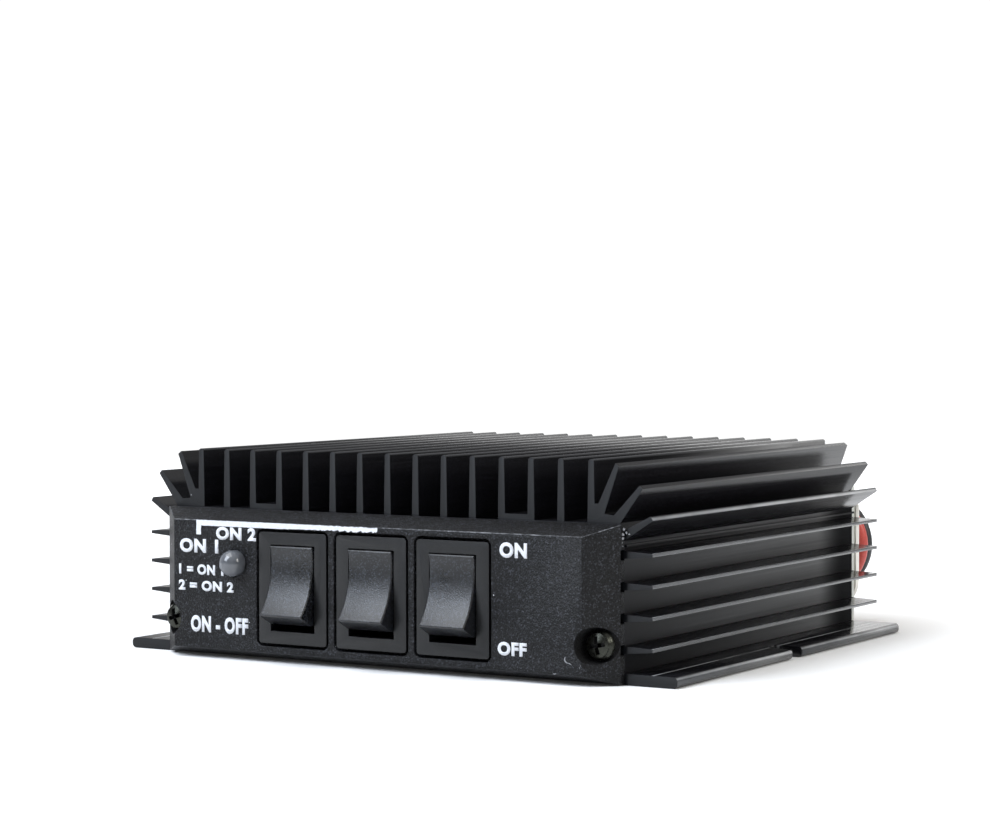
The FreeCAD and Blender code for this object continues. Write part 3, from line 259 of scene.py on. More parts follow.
blackWay = [(-1.15, 53.5, 17.4), (-1.15, 56.8, 17.4), (0.27, 60.7, 17.5), (3.2, 63.65, 17.9),
            (7.2, 65.1, 18.6), (13.5, 65.1, 20.4), (24.0, 65.1, 24.2), *[(x, 65.1, z) for x, z in barrelTurn],
            (32.0, 65.1, 5.6), (22.0, 65.2, 4.6), (13.0, 65.6, 5.0), (4.6, 66.8, 5.9), (-2.0, 70.4, 6.4),
            (-5.7, 75.9, 6.45), (-6.45, 80.9, 6.45)]


def coilEnd(coil):
    # where a wire leaves its last turn, and which way it goes from there
    angle = math.radians(coil["to"])
    x, y = wireValues["coilCentre"]
    outer = wireValues["rings"][-1]
    return (Vector((x + outer * math.cos(angle), y + outer * math.sin(angle), coil["upper"])),
            Vector((math.sin(angle), -math.cos(angle), 0)))


def coilTurns(coil):
    # three turns inwards on the lower layer, then outwards over them on the upper one
    rings = wireValues["rings"]
    total = (coil["from"] - coil["to"]) / 360 + wireValues["wholeTurns"]
    count = int(total * wireValues["stepsPerTurn"])
    cx, cy = wireValues["coilCentre"]
    points = []
    for k in range(1, count):
        turn = k * total / count
        radius = rings[0]
        for move, before, after in zip(wireValues["moves"], rings, rings[1:]):
            radius += (after - before) * ease(turn, *move)
        radius /= wireValues["cutsInside"]
        level = coil["lower"] + (coil["upper"] - coil["lower"]) * ease(turn, *wireValues["climb"])
        angle = math.radians(coil["from"] - 360 * turn)
        points.append((cx + radius * math.cos(angle), cy + radius * math.sin(angle), level))
    # the end leaves the outer turn straight
    start, along = coilEnd(coil)
    return points + [tuple(start + along * reach) for reach in wireValues["tail"]]


def splineCurve(name, points):
    curve = bpy.data.curves.new(name, "CURVE")
    curve.dimensions = "3D"
    curve.bevel_depth = wireValues["diameter"] / 2 * mm
    curve.bevel_resolution = wireValues["roundness"]
    curve.resolution_u = wireValues["smoothness"]
    curve.use_fill_caps = True
    line = curve.splines.new("NURBS")
    line.points.add(len(points) - 1)
    for point, spot in zip(line.points, points):
        point.co = (*[value * mm for value in spot], 1.0)
    line.order_u = 3
    line.use_endpoint_u = True
    return newObject(name, curve)


def splineLength(wire):
    # measured on a copy with no bevel
    bare = wire.data.copy()
    bare.bevel_depth = 0
    mesh = bakedMesh(newObject("measured", bare), "measured")
    ends = [[mesh.vertices[k].co for k in edge.vertices] for edge in mesh.edges]
    length = sum((first - second).length for first, second in ends)
    bpy.data.meshes.remove(mesh)
    return length


wires = {
    "red": splineCurve("redWire", redWay + coilTurns(wireValues["red"])),
    "black": splineCurve("blackWire", blackWay + coilTurns(wireValues["black"])),
}
print("wires done:", [round(splineLength(wire), 4) for wire in wires.values()], "m")

anodised = {
    "colour": "#0b0b0d",
    "lineColour": "#1c1c20",
    "sawnColour": "#07090d",
    "tipColour": "#3e4043",  # side fins and flanges
    "tipHighlightColour": "#adafb2",  # their upper edge, a painted highlight
    "topTipColour": "#2c2d30",
    "dustColour": "#8d8f93",
    "roughness": 0.19,
    "lineRoughness": (-0.05, 0.08),  # the lines spread it by this much
    "wallRoughness": 0.36,
    "rearRoughness": 0.7,
    "sawnRoughness": 0.62,
    "gloss": 0.4,  # for the whole, where the zones' own can't be used
    "finGloss": 0.5,
    "glossChange": (-0.27, -0.2, -0.12),  # on the side walls, at their rear, and on the sawn ends
    "ior": 1.55,
    "lineSpacing": 0.5,  # extrusion die lines, millimetres
    "lineStretch": (1.0, 0.004, 1.0),
    "sawSpacing": 0.25,
    "sawStretch": (0.06, 1.0, 1.0),
    "cloud": 9.0,
    "dust": {"spacing": 2.4, "rarity": 0.93, "size": 0.05},
    "bump": 0.03,
    "bumpStrength": 0.35,
    # zones in millimetres: what is measured, from where to where, and the zone's share at both
    "zones": {
        "sawn": ("half length", 49.86, 49.93, 0.0, 1.0),
        "sideTips": ("half width", 55.25, 55.45, 0.0, 1.0),
        "notFlange": ("half width", 55.7, 56.0, 1.0, 0.0),
        "flangeTip": ("half width", 60.1, 60.4, 0.0, 1.0),
        "topTips": ("height", 39.35, 39.6, 0.0, 1.0),
        "wall": ("half width", 50.4, 50.8, 1.0, 0.0),
        "under": ("height", 27.5, 28.5, 1.0, 0.0),
    },
    "rear": (32.0, 45.5),  # the side walls grow duller from here to here
}


def specks(tree, place, values):
    # a round speck in a few of the pattern's cells
    cells = addNode(tree, "TexVoronoi", {"Vector": place, "Scale": perMetre(values["spacing"])})
    picked = addNode(tree, "SeparateColor", {0: cells.outputs["Color"]})
    rare = addNode(tree, "Math", {0: picked, 1: values["rarity"]}, operation="GREATER_THAN")
    near = addNode(tree, "Math", {0: cells, 1: values["size"]}, operation="LESS_THAN")
    return addNode(tree, "Math", {0: rare, 1: near}, operation="MULTIPLY")


def blackAnodised():
    # black anodised aluminium, extruded then sawn: satin black with fine lines along its length, and
    # duller bluish-grey sawn ends that show the saw's fine marks
    values = anodised
    material, tree, shader, place = newMaterial("blackAnodised", values)
    drawn = addNode(tree, "Mapping", {"Vector": place, "Scale": values["lineStretch"]})
    lines = addNode(tree, "TexNoise", {
        "Vector": drawn, "Scale": perMetre(values["lineSpacing"]), "Detail": 3.0, "Roughness": 0.6})
    cut = addNode(tree, "Mapping", {"Vector": place, "Scale": values["sawStretch"]})
    marks = addNode(tree, "TexNoise", {
        "Vector": cut, "Scale": perMetre(values["sawSpacing"]), "Detail": 2.0})
    clouds = addNode(tree, "TexNoise", {
        "Vector": place, "Scale": perMetre(values["cloud"]), "Detail": 4.0})
    axes = addNode(tree, "SeparateXYZ", {0: place})
    measured = {
        "half width": addNode(tree, "Math", {0: axes.outputs["X"]}, operation="ABSOLUTE"),
        "half length": addNode(tree, "Math", {0: axes.outputs["Y"]}, operation="ABSOLUTE"),
        "height": axes.outputs["Z"],
    }
    zones = {}
    for name, (measure, start, end, before, after) in values["zones"].items():
        zones[name] = addNode(tree, "MapRange", {
            "Value": measured[measure], "From": (start * mm, end * mm),
            "To": (before, after)})
    # the fin tips are paler in patches, and much paler where they face up: a painted highlight from the light
    # above
    finTips = addNode(tree, "Math", {0: zones["sideTips"], 1: zones["notFlange"]}, operation="MULTIPLY")
    tips = addNode(tree, "Math", {0: finTips, 1: zones["flangeTip"]}, operation="MAXIMUM")
    patchy = addNode(tree, "MapRange", {"Value": clouds, "From": (0.25, 0.6), "To": (0.5, 1.0)})
    worn = addNode(tree, "Math", {0: tips, 1: patchy}, operation="MULTIPLY")
    facing = addNode(tree, "SeparateXYZ", {0: addNode(tree, "NewGeometry").outputs["Normal"]})
    # facing up, the tips take the painted highlight
    upper = addNode(tree, "MapRange", {"Value": facing.outputs["Z"], "From": (0.15, 0.55)})
    tipToneAndHighlight = addNode(tree, "Mix", {"Factor": upper, "A": values["tipColour"], "B": values["tipHighlightColour"]},
                      data_type="RGBA")
    dust = specks(tree, place, values["dust"])
    # each colour lies over the ones before it
    tone = values["colour"]
    for share, colour in (
            (lines, values["lineColour"]), (zones["topTips"], values["topTipColour"]), (worn, tipToneAndHighlight),
            (zones["sawn"], values["sawnColour"]), (dust, values["dustColour"])):
        tone = addNode(tree, "Mix", {"Factor": share, "A": tone, "B": colour}, data_type="RGBA")
    # the side walls are less glossy than the fins, and duller still for their last few millimetres
    side = addNode(tree, "Math", {0: zones["wall"], 1: zones["under"]}, operation="MULTIPLY")
    band = addNode(tree, "MapRange", {
        "Value": axes.outputs["Y"], "From": [y * mm for y in values["rear"]]},
        interpolation_type="SMOOTHSTEP")
    rear = addNode(tree, "Math", {0: side, 1: band}, operation="MULTIPLY")
    gloss = values["finGloss"]
    for share, change in zip((side, rear, zones["sawn"]), values["glossChange"]):
        gloss = addNode(tree, "Math", {0: share, 1: change, 2: gloss}, operation="MULTIPLY_ADD")
    dull = addNode(tree, "MapRange", {
        "Value": lines, "From": (0.3, 0.7),
        "To": [values["roughness"] + change for change in values["lineRoughness"]]})
    rough = addNode(tree, "Math", {
        0: side, 1: values["wallRoughness"] - values["roughness"], 2: dull}, operation="MULTIPLY_ADD")
    for share, zoneRoughness in ((rear, values["rearRoughness"]), (zones["sawn"], values["sawnRoughness"])):
        rough = addNode(tree, "Mix", {"Factor": share, "A": rough, "B": zoneRoughness}, data_type="FLOAT")
    relief = addNode(tree, "Mix", {"Factor": zones["sawn"], "A": lines, "B": marks}, data_type="FLOAT")
    bump = addNode(tree, "Bump", {
        "Height": relief, "Distance": values["bump"] * mm, "Strength": values["bumpStrength"]})
    feed(tree, shader, {"Base Color": tone, "Roughness": rough, "Specular IOR Level": gloss, "Normal": bump})
    return material


panelPaint = {
    "colour": "#040405",
    "paleColour": "#1d1e21",
    "grainGlintColour": "#3d3f45",
    "dustColour": "#c9cbd0",
    # colour of the painted highlight along the top edge
    "edgeHighlightColour": "#8c8e93",
    "holeColour": "#040405",
    "roughness": 0.5,
    "holeRoughness": 0.9,
    "gloss": 0.25,
    "ior": 1.5,
    "grain": 0.3,  # size of the sandy texture, millimetres
    "flake": 0.24,
    "bump": 0.22,
    "dust": {"spacing": 1.5, "rarity": 0.9, "size": 0.07},
    # a painted highlight: a bright line along the top edge, which climbs and falls back past the two upper
    # corners
    "edgeHighlight": {"halfWidth": (0.06, 0.096), "breaks": 1.6, "height": 26.4, "corner": 45.0, "rise": 0.392,
            "setBack": 0.98, "face": -56.15},
    "hole": {"x": 46.7, "z": 7.2, "radius": 3.3},
}


def sandyPanelPaint():
    # moulded panel with a sandy textured black finish: matt, with single grains painted paler as glints,
    # white dust specks, and a painted highlight as a broken bright line along the top edge
    values, edgeHighlight, hole = panelPaint, panelPaint["edgeHighlight"], panelPaint["hole"]
    material, tree, shader, place = newMaterial("sandyPanelPaint", values)
    grains = addNode(tree, "TexVoronoi", {
        "Vector": place, "Scale": perMetre(values["grain"])}, feature="SMOOTH_F1")
    sand = addNode(tree, "TexNoise", {"Vector": place, "Scale": perMetre(values["grain"]), "Detail": 2.0})
    pale = addNode(tree, "MapRange", {"Value": sand, "From": (0.45, 0.75)})
    # single grains painted paler: painted glints where grains would catch the light
    flakes = addNode(tree, "TexVoronoi", {"Vector": place, "Scale": perMetre(values["flake"])})
    flakeTone = addNode(tree, "SeparateColor", {0: flakes.outputs["Color"]})
    lit = addNode(tree, "MapRange", {"Value": flakeTone, "From Min": 0.76, "To Max": 0.7})
    axes = addNode(tree, "SeparateXYZ", {0: place})
    across = addNode(tree, "Math", {0: axes.outputs["X"]}, operation="ABSOLUTE")
    # the painted highlight line along the top edge, broken up
    beyond = addNode(tree, "Math", {0: across, 1: edgeHighlight["corner"] * mm}, operation="SUBTRACT")
    past = addNode(tree, "Math", {0: beyond, 1: 0.0}, operation="MAXIMUM")
    rise = addNode(tree, "Math", {0: past, 1: edgeHighlight["rise"], 2: edgeHighlight["height"] * mm},
                   operation="MULTIPLY_ADD")
    offEdge = addNode(tree, "Math", {0: axes.outputs["Z"], 1: rise}, operation="SUBTRACT")
    offLine = addNode(tree, "Math", {0: offEdge}, operation="ABSOLUTE")
    edgeLine = addNode(tree, "MapRange", {
        "Value": offLine, "From": [width * mm for width in edgeHighlight["halfWidth"]],
        "To": (1.0, 0.0)})
    squared = addNode(tree, "Math", {0: past, 1: -edgeHighlight["setBack"], 2: axes.outputs["Y"]},
                      operation="MULTIPLY_ADD")
    front = addNode(tree, "Math", {0: squared, 1: edgeHighlight["face"] * mm}, operation="LESS_THAN")
    breaks = addNode(tree, "TexNoise", {
        "Vector": place, "Scale": perMetre(edgeHighlight["breaks"]), "Detail": 4.0, "Roughness": 0.7})
    broken = addNode(tree, "MapRange", {"Value": breaks, "From": (0.45, 0.68), "To": (0.15, 0.95)})
    onLine = addNode(tree, "Math", {0: edgeLine, 1: front}, operation="MULTIPLY")
    paintedEdgeHighlight = addNode(tree, "Math", {0: onLine, 1: broken}, operation="MULTIPLY")
    # inside the deep screw holes the panel is plain black and dull, with no grain, specks or line
    flat = addNode(tree, "CombineXYZ", {"X": across, "Z": axes.outputs["Z"]})
    holeWay = addNode(tree, "VectorMath", {0: flat, 1: (hole["x"] * mm, 0.0, hole["z"] * mm)},
                      operation="DISTANCE")
    inHole = addNode(tree, "Math", {0: holeWay, 1: hole["radius"] * mm}, operation="LESS_THAN")
    dust = specks(tree, place, values["dust"])
    tone = values["colour"]
    for share, colour in ((pale, "paleColour"), (lit, "grainGlintColour"), (dust, "dustColour"),
                          (paintedEdgeHighlight, "edgeHighlightColour"), (inHole, "holeColour")):
        tone = addNode(tree, "Mix", {"Factor": share, "A": tone, "B": values[colour]}, data_type="RGBA")
    rough = addNode(tree, "Math", {
        0: inHole, 1: values["holeRoughness"] - values["roughness"], 2: values["roughness"]},
        operation="MULTIPLY_ADD")
    coarse = addNode(tree, "Bump", {"Height": grains, "Distance": values["bump"] * mm, "Strength": 0.7})
    fine = addNode(tree, "Bump", {
        "Height": sand, "Distance": values["bump"] * mm, "Strength": 0.5, "Normal": coarse})
    feed(tree, shader, {"Base Color": tone, "Roughness": rough, "Normal": fine})
    return material


plasticFinish = {"cloud": 6.0, "roughness": (-0.04, 0.05), "bumpStrength": 0.8}
metalFinish = {"cloud": 4.0, "roughness": (0.75, 1.3), "bumpStrength": 0.6}


def mouldedPlastic(name, values):
    # injection moulded: even colour with a fine grain, and a soft sheen that the grain breaks up
    material, tree, shader, place = newMaterial(name, values)
    grain = addNode(tree, "TexNoise", {
        "Vector": place, "Scale": perMetre(values["grain"]), "Detail": 2.5, "Roughness": 0.6})
    clouds = addNode(tree, "TexNoise", {"Vector": place, "Scale": perMetre(plasticFinish["cloud"])})
    pale = addNode(tree, "MapRange", {"Value": grain, "From": (0.3, 0.75)})
    tone = addNode(tree, "Mix", {"Factor": pale, "A": values["colour"], "B": values["paleColour"]},
                   data_type="RGBA")
    if "paintedGlint" in values:
        # single grains painted paler: painted glints where they would catch the light
        cells = addNode(tree, "TexVoronoi", {"Vector": place, "Scale": perMetre(values["grain"])})
        picked = addNode(tree, "SeparateColor", {0: cells.outputs["Color"]})
        bright = addNode(tree, "MapRange", {"Value": picked, "From Min": 0.7, "To Max": 0.8})
        tone = addNode(tree, "Mix", {"Factor": bright, "A": tone, "B": values["paintedGlint"]}, data_type="RGBA")
    rough = addNode(tree, "MapRange", {
        "Value": clouds, "From": (0.3, 0.7),
        "To": [values["roughness"] + change for change in plasticFinish["roughness"]]})
    bump = addNode(tree, "Bump", {
        "Height": grain, "Distance": values["bump"] * mm, "Strength": plasticFinish["bumpStrength"]})
    feed(tree, shader, {"Base Color": tone, "Roughness": rough, "Normal": bump})
    return material


def workedMetal(name, values):
    # plated or drawn metal: fine scratches vary its gloss, and faint clouds its colour
    material, tree, shader, place = newMaterial(name, values)
    scratches = addNode(tree, "TexNoise", {
        "Vector": place, "Scale": perMetre(values["grain"]), "Detail": 3.0, "Roughness": 0.65})
    clouds = addNode(tree, "TexNoise", {
        "Vector": place, "Scale": perMetre(metalFinish["cloud"]), "Detail": 3.0})
    tone = addNode(tree, "Mix", {"Factor": clouds, "A": values["colour"], "B": values["paleColour"]},
                   data_type="RGBA")
    rough = addNode(tree, "MapRange", {
        "Value": scratches, "From": (0.3, 0.7),
        "To": [values["roughness"] * share for share in metalFinish["roughness"]]})
    bump = addNode(tree, "Bump", {
        "Height": scratches, "Distance": values["bump"] * mm, "Strength": metalFinish["bumpStrength"]})
    feed(tree, shader, {"Base Color": tone, "Roughness": rough, "Normal": bump})
    return material


plastics = {
    # glass-filled nylon: near black and semi-matt, so its soft edges catch a grey line
    "nylon": {"colour": "#090a0b", "paleColour": "#111214", "roughness": 0.4, "ior": 1.53, "grain": 0.3,
              "bump": 0.03, "gloss": 0.44},
    # fine-grained ABS rocker: black, with single grains painted grey as glints
    "rocker_plastic": {"colour": "#060708", "paleColour": "#101114", "roughness": 0.29, "ior": 1.53,
                       "grain": 0.22, "bump": 0.08, "paintedGlint": "#373b44", "gloss": 0.5},
    # soft black PVC grommet: matt
    "rubber": {"colour": "#151515", "paleColour": "#1d1d1d", "roughness": 0.7, "ior": 1.52, "grain": 0.4,
               "bump": 0.02},
    # PVC insulation: satin, slightly chalky
    "red_insulation": {"colour": "#c24a42", "paleColour": "#cf5a50", "roughness": 0.38, "ior": 1.53,
                       "grain": 0.5, "bump": 0.01},
    "black_insulation": {"colour": "#2a2b2d", "paleColour": "#36373a", "roughness": 0.38, "ior": 1.53,
                         "grain": 0.5, "bump": 0.01},
    # phenolic socket insulator: dense, off-white, faintly waxy
    "insulator": {"colour": "#ddd6c4", "paleColour": "#e8e3d6", "roughness": 0.45, "ior": 1.55, "grain": 0.6,
                  "bump": 0.01},
    # silicone and mica: pale, flat, dull
    "pale_insulator": {"colour": "#c9c7bf", "paleColour": "#dad8d2", "roughness": 0.6, "ior": 1.45,
                       "grain": 0.8, "bump": 0.01},
    # moulded epoxy bodies of the parts on the board: matt black with a fine grain
    "component_black": {"colour": "#17181a", "paleColour": "#242527", "roughness": 0.55, "ior": 1.55,
                        "grain": 0.2, "bump": 0.015},
    # pressed ferrite: dark grey and rough
    "ferrite": {"colour": "#2c2d2f", "paleColour": "#3c3d40", "roughness": 0.5, "ior": 1.8, "grain": 0.4,
                "bump": 0.03},
    # powdered iron ring with its yellow coat
    "filter_core": {"colour": "#b98a1c", "paleColour": "#c99a2c", "roughness": 0.45, "ior": 1.5,
                    "grain": 0.5, "bump": 0.02},
    # dipped ceramic: brown and glossy
    "brown_ceramic": {"colour": "#6d3a1c", "paleColour": "#7f4724", "roughness": 0.3, "ior": 1.55,
                      "grain": 0.9, "bump": 0.02},
    # green solder mask over glass laminate: glossy, faintly uneven
    "board_laminate": {"colour": "#16502f", "paleColour": "#1d6039", "roughness": 0.32, "ior": 1.5,
                       "grain": 0.45, "bump": 0.008},
    # powder coated sheet: even black with a slight orange peel
    "black_plate": {"colour": "#161618", "paleColour": "#1f1f22", "roughness": 0.48, "ior": 1.52,
                    "grain": 0.3, "bump": 0.02},
}
metals = {
    # nickel plate over turned brass: warm grey, finely scratched
    "nickel": {"colour": "#d6d2ca", "paleColour": "#e2dfd8", "metallic": 0.8, "roughness": 0.36,
               "grain": 0.12, "bump": 0.004},
    # tin plate: soft white metal, dulled
    "tinned_brass": {"colour": "#c2c0bb", "paleColour": "#d2d0cc", "metallic": 1.0, "roughness": 0.32,
                     "grain": 0.2, "bump": 0.004},
    # enamelled copper wire: clear orange brown
    "copper": {"colour": "#b4622f", "paleColour": "#c37340", "metallic": 1.0, "roughness": 0.28,
               "grain": 0.3, "bump": 0.003},
    # black oxide on steel: dark, oily, rubbed grey on its high edges, where the pale edge colour is also a
    # painted highlight
    "black_steel": {"colour": "#2b2c29", "paleColour": "#45463f", "metallic": 0.9, "roughness": 0.3,
                    "grain": 0.5, "bump": 0.03},
    # zinc plated steel: bright blue-grey
    "bright_steel": {"colour": "#b3b7bb", "paleColour": "#c3c6c9", "metallic": 1.0, "roughness": 0.3,
                     "grain": 0.2, "bump": 0.004},
}
lampLens = {"colour": "#54565b", "paleColour": "#63666b", "roughness": 0.035, "ior": 1.49, "gloss": 0.75,
            "haze": 2.5, "spread": 1.0}


def milkyLens():
    # diffused epoxy lens: milky grey, light spreads inside it and its skin is glossy
    material, tree, shader, place = newMaterial("milkyLens", lampLens)
    haze = addNode(tree, "TexNoise", {
        "Vector": place, "Scale": perMetre(lampLens["haze"]), "Detail": 2.0})
    tone = addNode(tree, "Mix", {"Factor": haze, "A": lampLens["colour"], "B": lampLens["paleColour"]},
                   data_type="RGBA")
    feed(tree, shader, {"Base Color": tone, "Subsurface Weight": 0.4, "Subsurface Scale": 1.0,
                        "Subsurface Radius": [lampLens["spread"] * mm] * 3})
    return material


shearedEdge = {"colour": "#e2e4df", "roughness": 0.55, "metallic": 0.2, "edge": 49.55}


def shearedPlate():
    # the coated sheet was sheared to size after coating, so its two side edges are bare aluminium
    material = mouldedPlastic("shearedPlate", plastics["black_plate"])
    tree = material.node_tree
    bare = addNode(tree, "BsdfPrincipled", {
        "Base Color": shearedEdge["colour"], "Roughness": shearedEdge["roughness"],
        "Metallic": shearedEdge["metallic"]})
    axes = addNode(tree, "SeparateXYZ", {0: tree.nodes["Texture Coordinate"].outputs["Object"]})
    across = addNode(tree, "Math", {0: axes.outputs["X"]}, operation="ABSOLUTE")
    edge = addNode(tree, "Math", {0: across, 1: shearedEdge["edge"] * mm}, operation="GREATER_THAN")
    both = addNode(tree, "MixShader", {0: edge, 1: tree.nodes["Principled BSDF"], 2: bare})
    feed(tree, tree.nodes["Material Output"], {"Surface": both})
    return material


materials = {name: mouldedPlastic(name, values) for name, values in plastics.items()}
materials.update({name: workedMetal(name, values) for name, values in metals.items()})
materials["black_anodised"] = blackAnodised()
materials["panel_plastic"] = sandyPanelPaint()
materials["milky_lens"] = milkyLens()
slotOf = {row["node"]: row["material_slot"] for row in frame["record"]["subparts"]}
for nodeName, item in nodes.items():
    for index in range(len(item.data.materials)):
        item.data.materials[index] = materials[slotOf[nodeName]]
for colour, wire in wires.items():
    wire.data.materials.append(materials[f"{colour}_insulation"])
    carry(wire, f"{colour}_insulation", f"{colour}_wire", f"{colour}_wire_coil")
print("materials done:", len(materials))

bodyOf = {item: body for body, items in frame["record"]["behaviour"]["bodies"].items() for item in items}
edgeWidths = {
    "heatsink": ("finnedCase", 0.12),
    "front_panel": ("frontPanel", 0.18),
    "bottom_cover": ("bottomCover", 0.12),
    "lead_grommet": ("leadGrommet", 0.35),
    "coil_tie": ("coilTie", 0.25),
}
# degrees: below the first, faces are joined into one, and above the second, their edge is softened
edgeValues = {"flat": 0.4, "sharp": 28}


def mergedNode(nodeName):
    # the node's loose triangles joined at their corners
    work = bmesh.new()
    work.from_mesh(nodes[nodeName].data)
    bmesh.ops.remove_doubles(work, verts=work.verts, dist=1e-6)
    return work


def softEdges(piece, width, segments, angle):
    soft = piece.modifiers.new("softEdges", "BEVEL")
    soft.width = width * mm
    soft.segments = segments
    soft.limit_method = "ANGLE"
    soft.angle_limit = math.radians(angle)
    soft.harden_normals = True
    return soft


def softened(nodeName, pieceName, width, segments=2, material=None):
    # a piece that follows its CAD node, with soft edges
    work = mergedNode(nodeName)
    bmesh.ops.dissolve_limit(
        work, angle_limit=math.radians(edgeValues["flat"]), verts=work.verts, edges=work.edges)
    for face in work.faces:
        face.smooth = True
    piece = newObject(pieceName, toMesh(work, pieceName))
    piece.data.materials.append(material or materials[slotOf[nodeName]])
    softEdges(piece, width, segments, edgeValues["sharp"])
    carry(piece, slotOf[nodeName], nodeName, body=bodyOf[nodeName])


softened("rear_panel", "rearPanel", width=0.12, material=shearedPlate())
for nodeName, (pieceName, width) in edgeWidths.items():
    softened(nodeName, pieceName, width)
for side in ("left", "middle", "right"):
    softened(f"{side}_switch_housing", f"{side}SwitchHousing", width=0.22, segments=3)
    softened(f"{side}_rocker", f"{side}Rocker", width=0.35, segments=4)
print("softened pieces done")


def solidMiddles(nodeName):
    # the middle of each separate solid of a node
    work = mergedNode(nodeName)
    middles, seen = [], set()
    for start in work.verts:
        if start in seen:
            continue
        seen.add(start)
        stack, group = [start], []
        while stack:
            point = stack.pop()
            group.append(point.co.copy())
            for edge in point.link_edges:
                other = edge.other_vert(point)
                if other not in seen:
                    seen.add(other)
                    stack.append(other)
        middles.append(Vector([(min(values) + max(values)) / 2 for values in zip(*group)]))
    work.free()
    return middles


def screwTree():
    # a pan or sunk head with a cross recess, and its shank, on every point
    tree = bpy.data.node_groups.new("crossHeadScrews", "GeometryNodeTree")
    sizes = ("Head Radius", "Head Height", "Foot", "Crown", "Rim Height", "Cross Length", "Cross Width",
             "Cross Depth", "Shank Radius", "Shank Length", "Turn", "Turn Spread")
    for name, kind in (("Geometry", "Geometry"), *[(size, "Float") for size in sizes], ("Facing", "Vector"),
                       ("Seed", "Int"), ("Material", "Material")):
        tree.interface.new_socket(name, in_out="INPUT", socket_type=f"NodeSocket{kind}")
    tree.interface.new_socket("Geometry", in_out="OUTPUT", socket_type="NodeSocketGeometry")
    given = addNode(tree, "NodeGroupInput").outputs
    # the head starts as a cylinder of unit size and is narrowed and rounded as it rises
    blank = addNode(tree, "GeometryNodeMeshCylinder", {
        "Vertices": 40, "Side Segments": 8, "Fill Segments": 6, "Radius": 1.0, "Depth": 1.0})
    position = addNode(tree, "GeometryNodeInputPosition")
    at = addNode(tree, "SeparateXYZ", {0: position})
    up = addNode(tree, "Math", {0: at.outputs["Z"], 1: 0.5}, operation="ADD")
    flat = addNode(tree, "VectorMath", {0: position, 1: (1.0, 1.0, 0.0)}, operation="MULTIPLY")
    out = addNode(tree, "VectorMath", {0: flat}, operation="LENGTH")
    cone = addNode(tree, "MapRange", {"Value": up, "To Min": given["Foot"]})
    crown = addNode(tree, "MapRange", {
        "Value": up, "From Min": 0.25, "To": (1.0, given["Crown"])},
        interpolation_type="SMOOTHSTEP")
    wide = addNode(tree, "Math", {0: cone, 1: crown}, operation="MULTIPLY")
    radius = addNode(tree, "Math", {0: wide, 1: given["Head Radius"]}, operation="MULTIPLY")
    spread = addNode(tree, "VectorMath", {0: flat, "Scale": radius}, operation="SCALE")
    droop = addNode(tree, "MapRange", {"Value": out, "From Min": 0.2, "To": (1.0, given["Rim Height"])})
    share = addNode(tree, "Math", {0: up, 1: droop}, operation="MULTIPLY")
    tall = addNode(tree, "Math", {0: share, 1: given["Head Height"]}, operation="MULTIPLY")
    lifted = addNode(tree, "CombineXYZ", {"Z": tall})
    shaped = addNode(tree, "VectorMath", {0: spread, 1: lifted}, operation="ADD")
    head = addNode(tree, "GeometryNodeSetPosition", {"Geometry": blank, "Position": shaped})
    # two bars cut the cross
    deep = addNode(tree, "Math", {0: given["Cross Depth"], 1: 2.0}, operation="MULTIPLY")
    top = addNode(tree, "CombineXYZ", {"Z": given["Head Height"]})
    for x, y in (("Cross Length", "Cross Width"), ("Cross Width", "Cross Length")):
        size = addNode(tree, "CombineXYZ", {"X": given[x], "Y": given[y], "Z": deep})
        bar = addNode(tree, "GeometryNodeMeshCube", {"Size": size})
        cutter = addNode(tree, "GeometryNodeTransform", {"Geometry": bar, "Translation": top})
        head = addNode(tree, "GeometryNodeMeshBoolean", {"Mesh 1": head, "Mesh 2": cutter},
                       operation="DIFFERENCE")
    shank = addNode(tree, "GeometryNodeMeshCylinder", {
        "Vertices": 24, "Radius": given["Shank Radius"], "Depth": given["Shank Length"]})
    # the shank hangs from a little inside the head
    below = addNode(tree, "Math", {0: given["Shank Length"], 1: -0.5, 2: 0.2 * mm},
                    operation="MULTIPLY_ADD")
    drop = addNode(tree, "CombineXYZ", {"Z": below})
    lowered = addNode(tree, "GeometryNodeTransform", {"Geometry": shank, "Translation": drop})
    screw = addNode(tree, "GeometryNodeJoinGeometry")
    for part in (head, lowered):
        feed(tree, screw, {0: part})
    spin = addNode(tree, "FunctionNodeRandomValue", {
        "Min": 0.0, "Max": given["Turn Spread"], "ID": addNode(tree, "GeometryNodeInputIndex"),
        "Seed": given["Seed"]}, data_type="FLOAT")
    angle = addNode(tree, "Math", {0: given["Turn"], 1: spin}, operation="ADD")
    aim = addNode(tree, "FunctionNodeAlignRotationToVector", {"Vector": given["Facing"]}, axis="Z")
    turn = addNode(tree, "FunctionNodeAxisAngleToRotation", {"Axis": given["Facing"], "Angle": angle})
    turned = addNode(tree, "FunctionNodeRotateRotation", {"Rotation": aim, "Rotate By": turn},
                     rotation_space="GLOBAL")
    placed = addNode(tree, "GeometryNodeInstanceOnPoints", {
        "Points": given["Geometry"], "Instance": screw, "Rotation": turned})
    solid = addNode(tree, "GeometryNodeRealizeInstances", {0: placed})
    coated = addNode(tree, "GeometryNodeSetMaterial", {"Geometry": solid, "Material": given["Material"]})
    addNode(tree, "NodeGroupOutput", {"Geometry": coated})
    return tree


# steel where the black has rubbed off an edge, painted pale so the edges also carry a painted highlight:
# grey, bright, scratched
rubbedSteelHighlight = workedMetal("rubbedSteelHighlight", {
    "colour": "#a3a39e", "paleColour": "#d8d8d2", "metallic": 0.5, "roughness": 0.45, "grain": 0.3,
    "bump": 0.01})
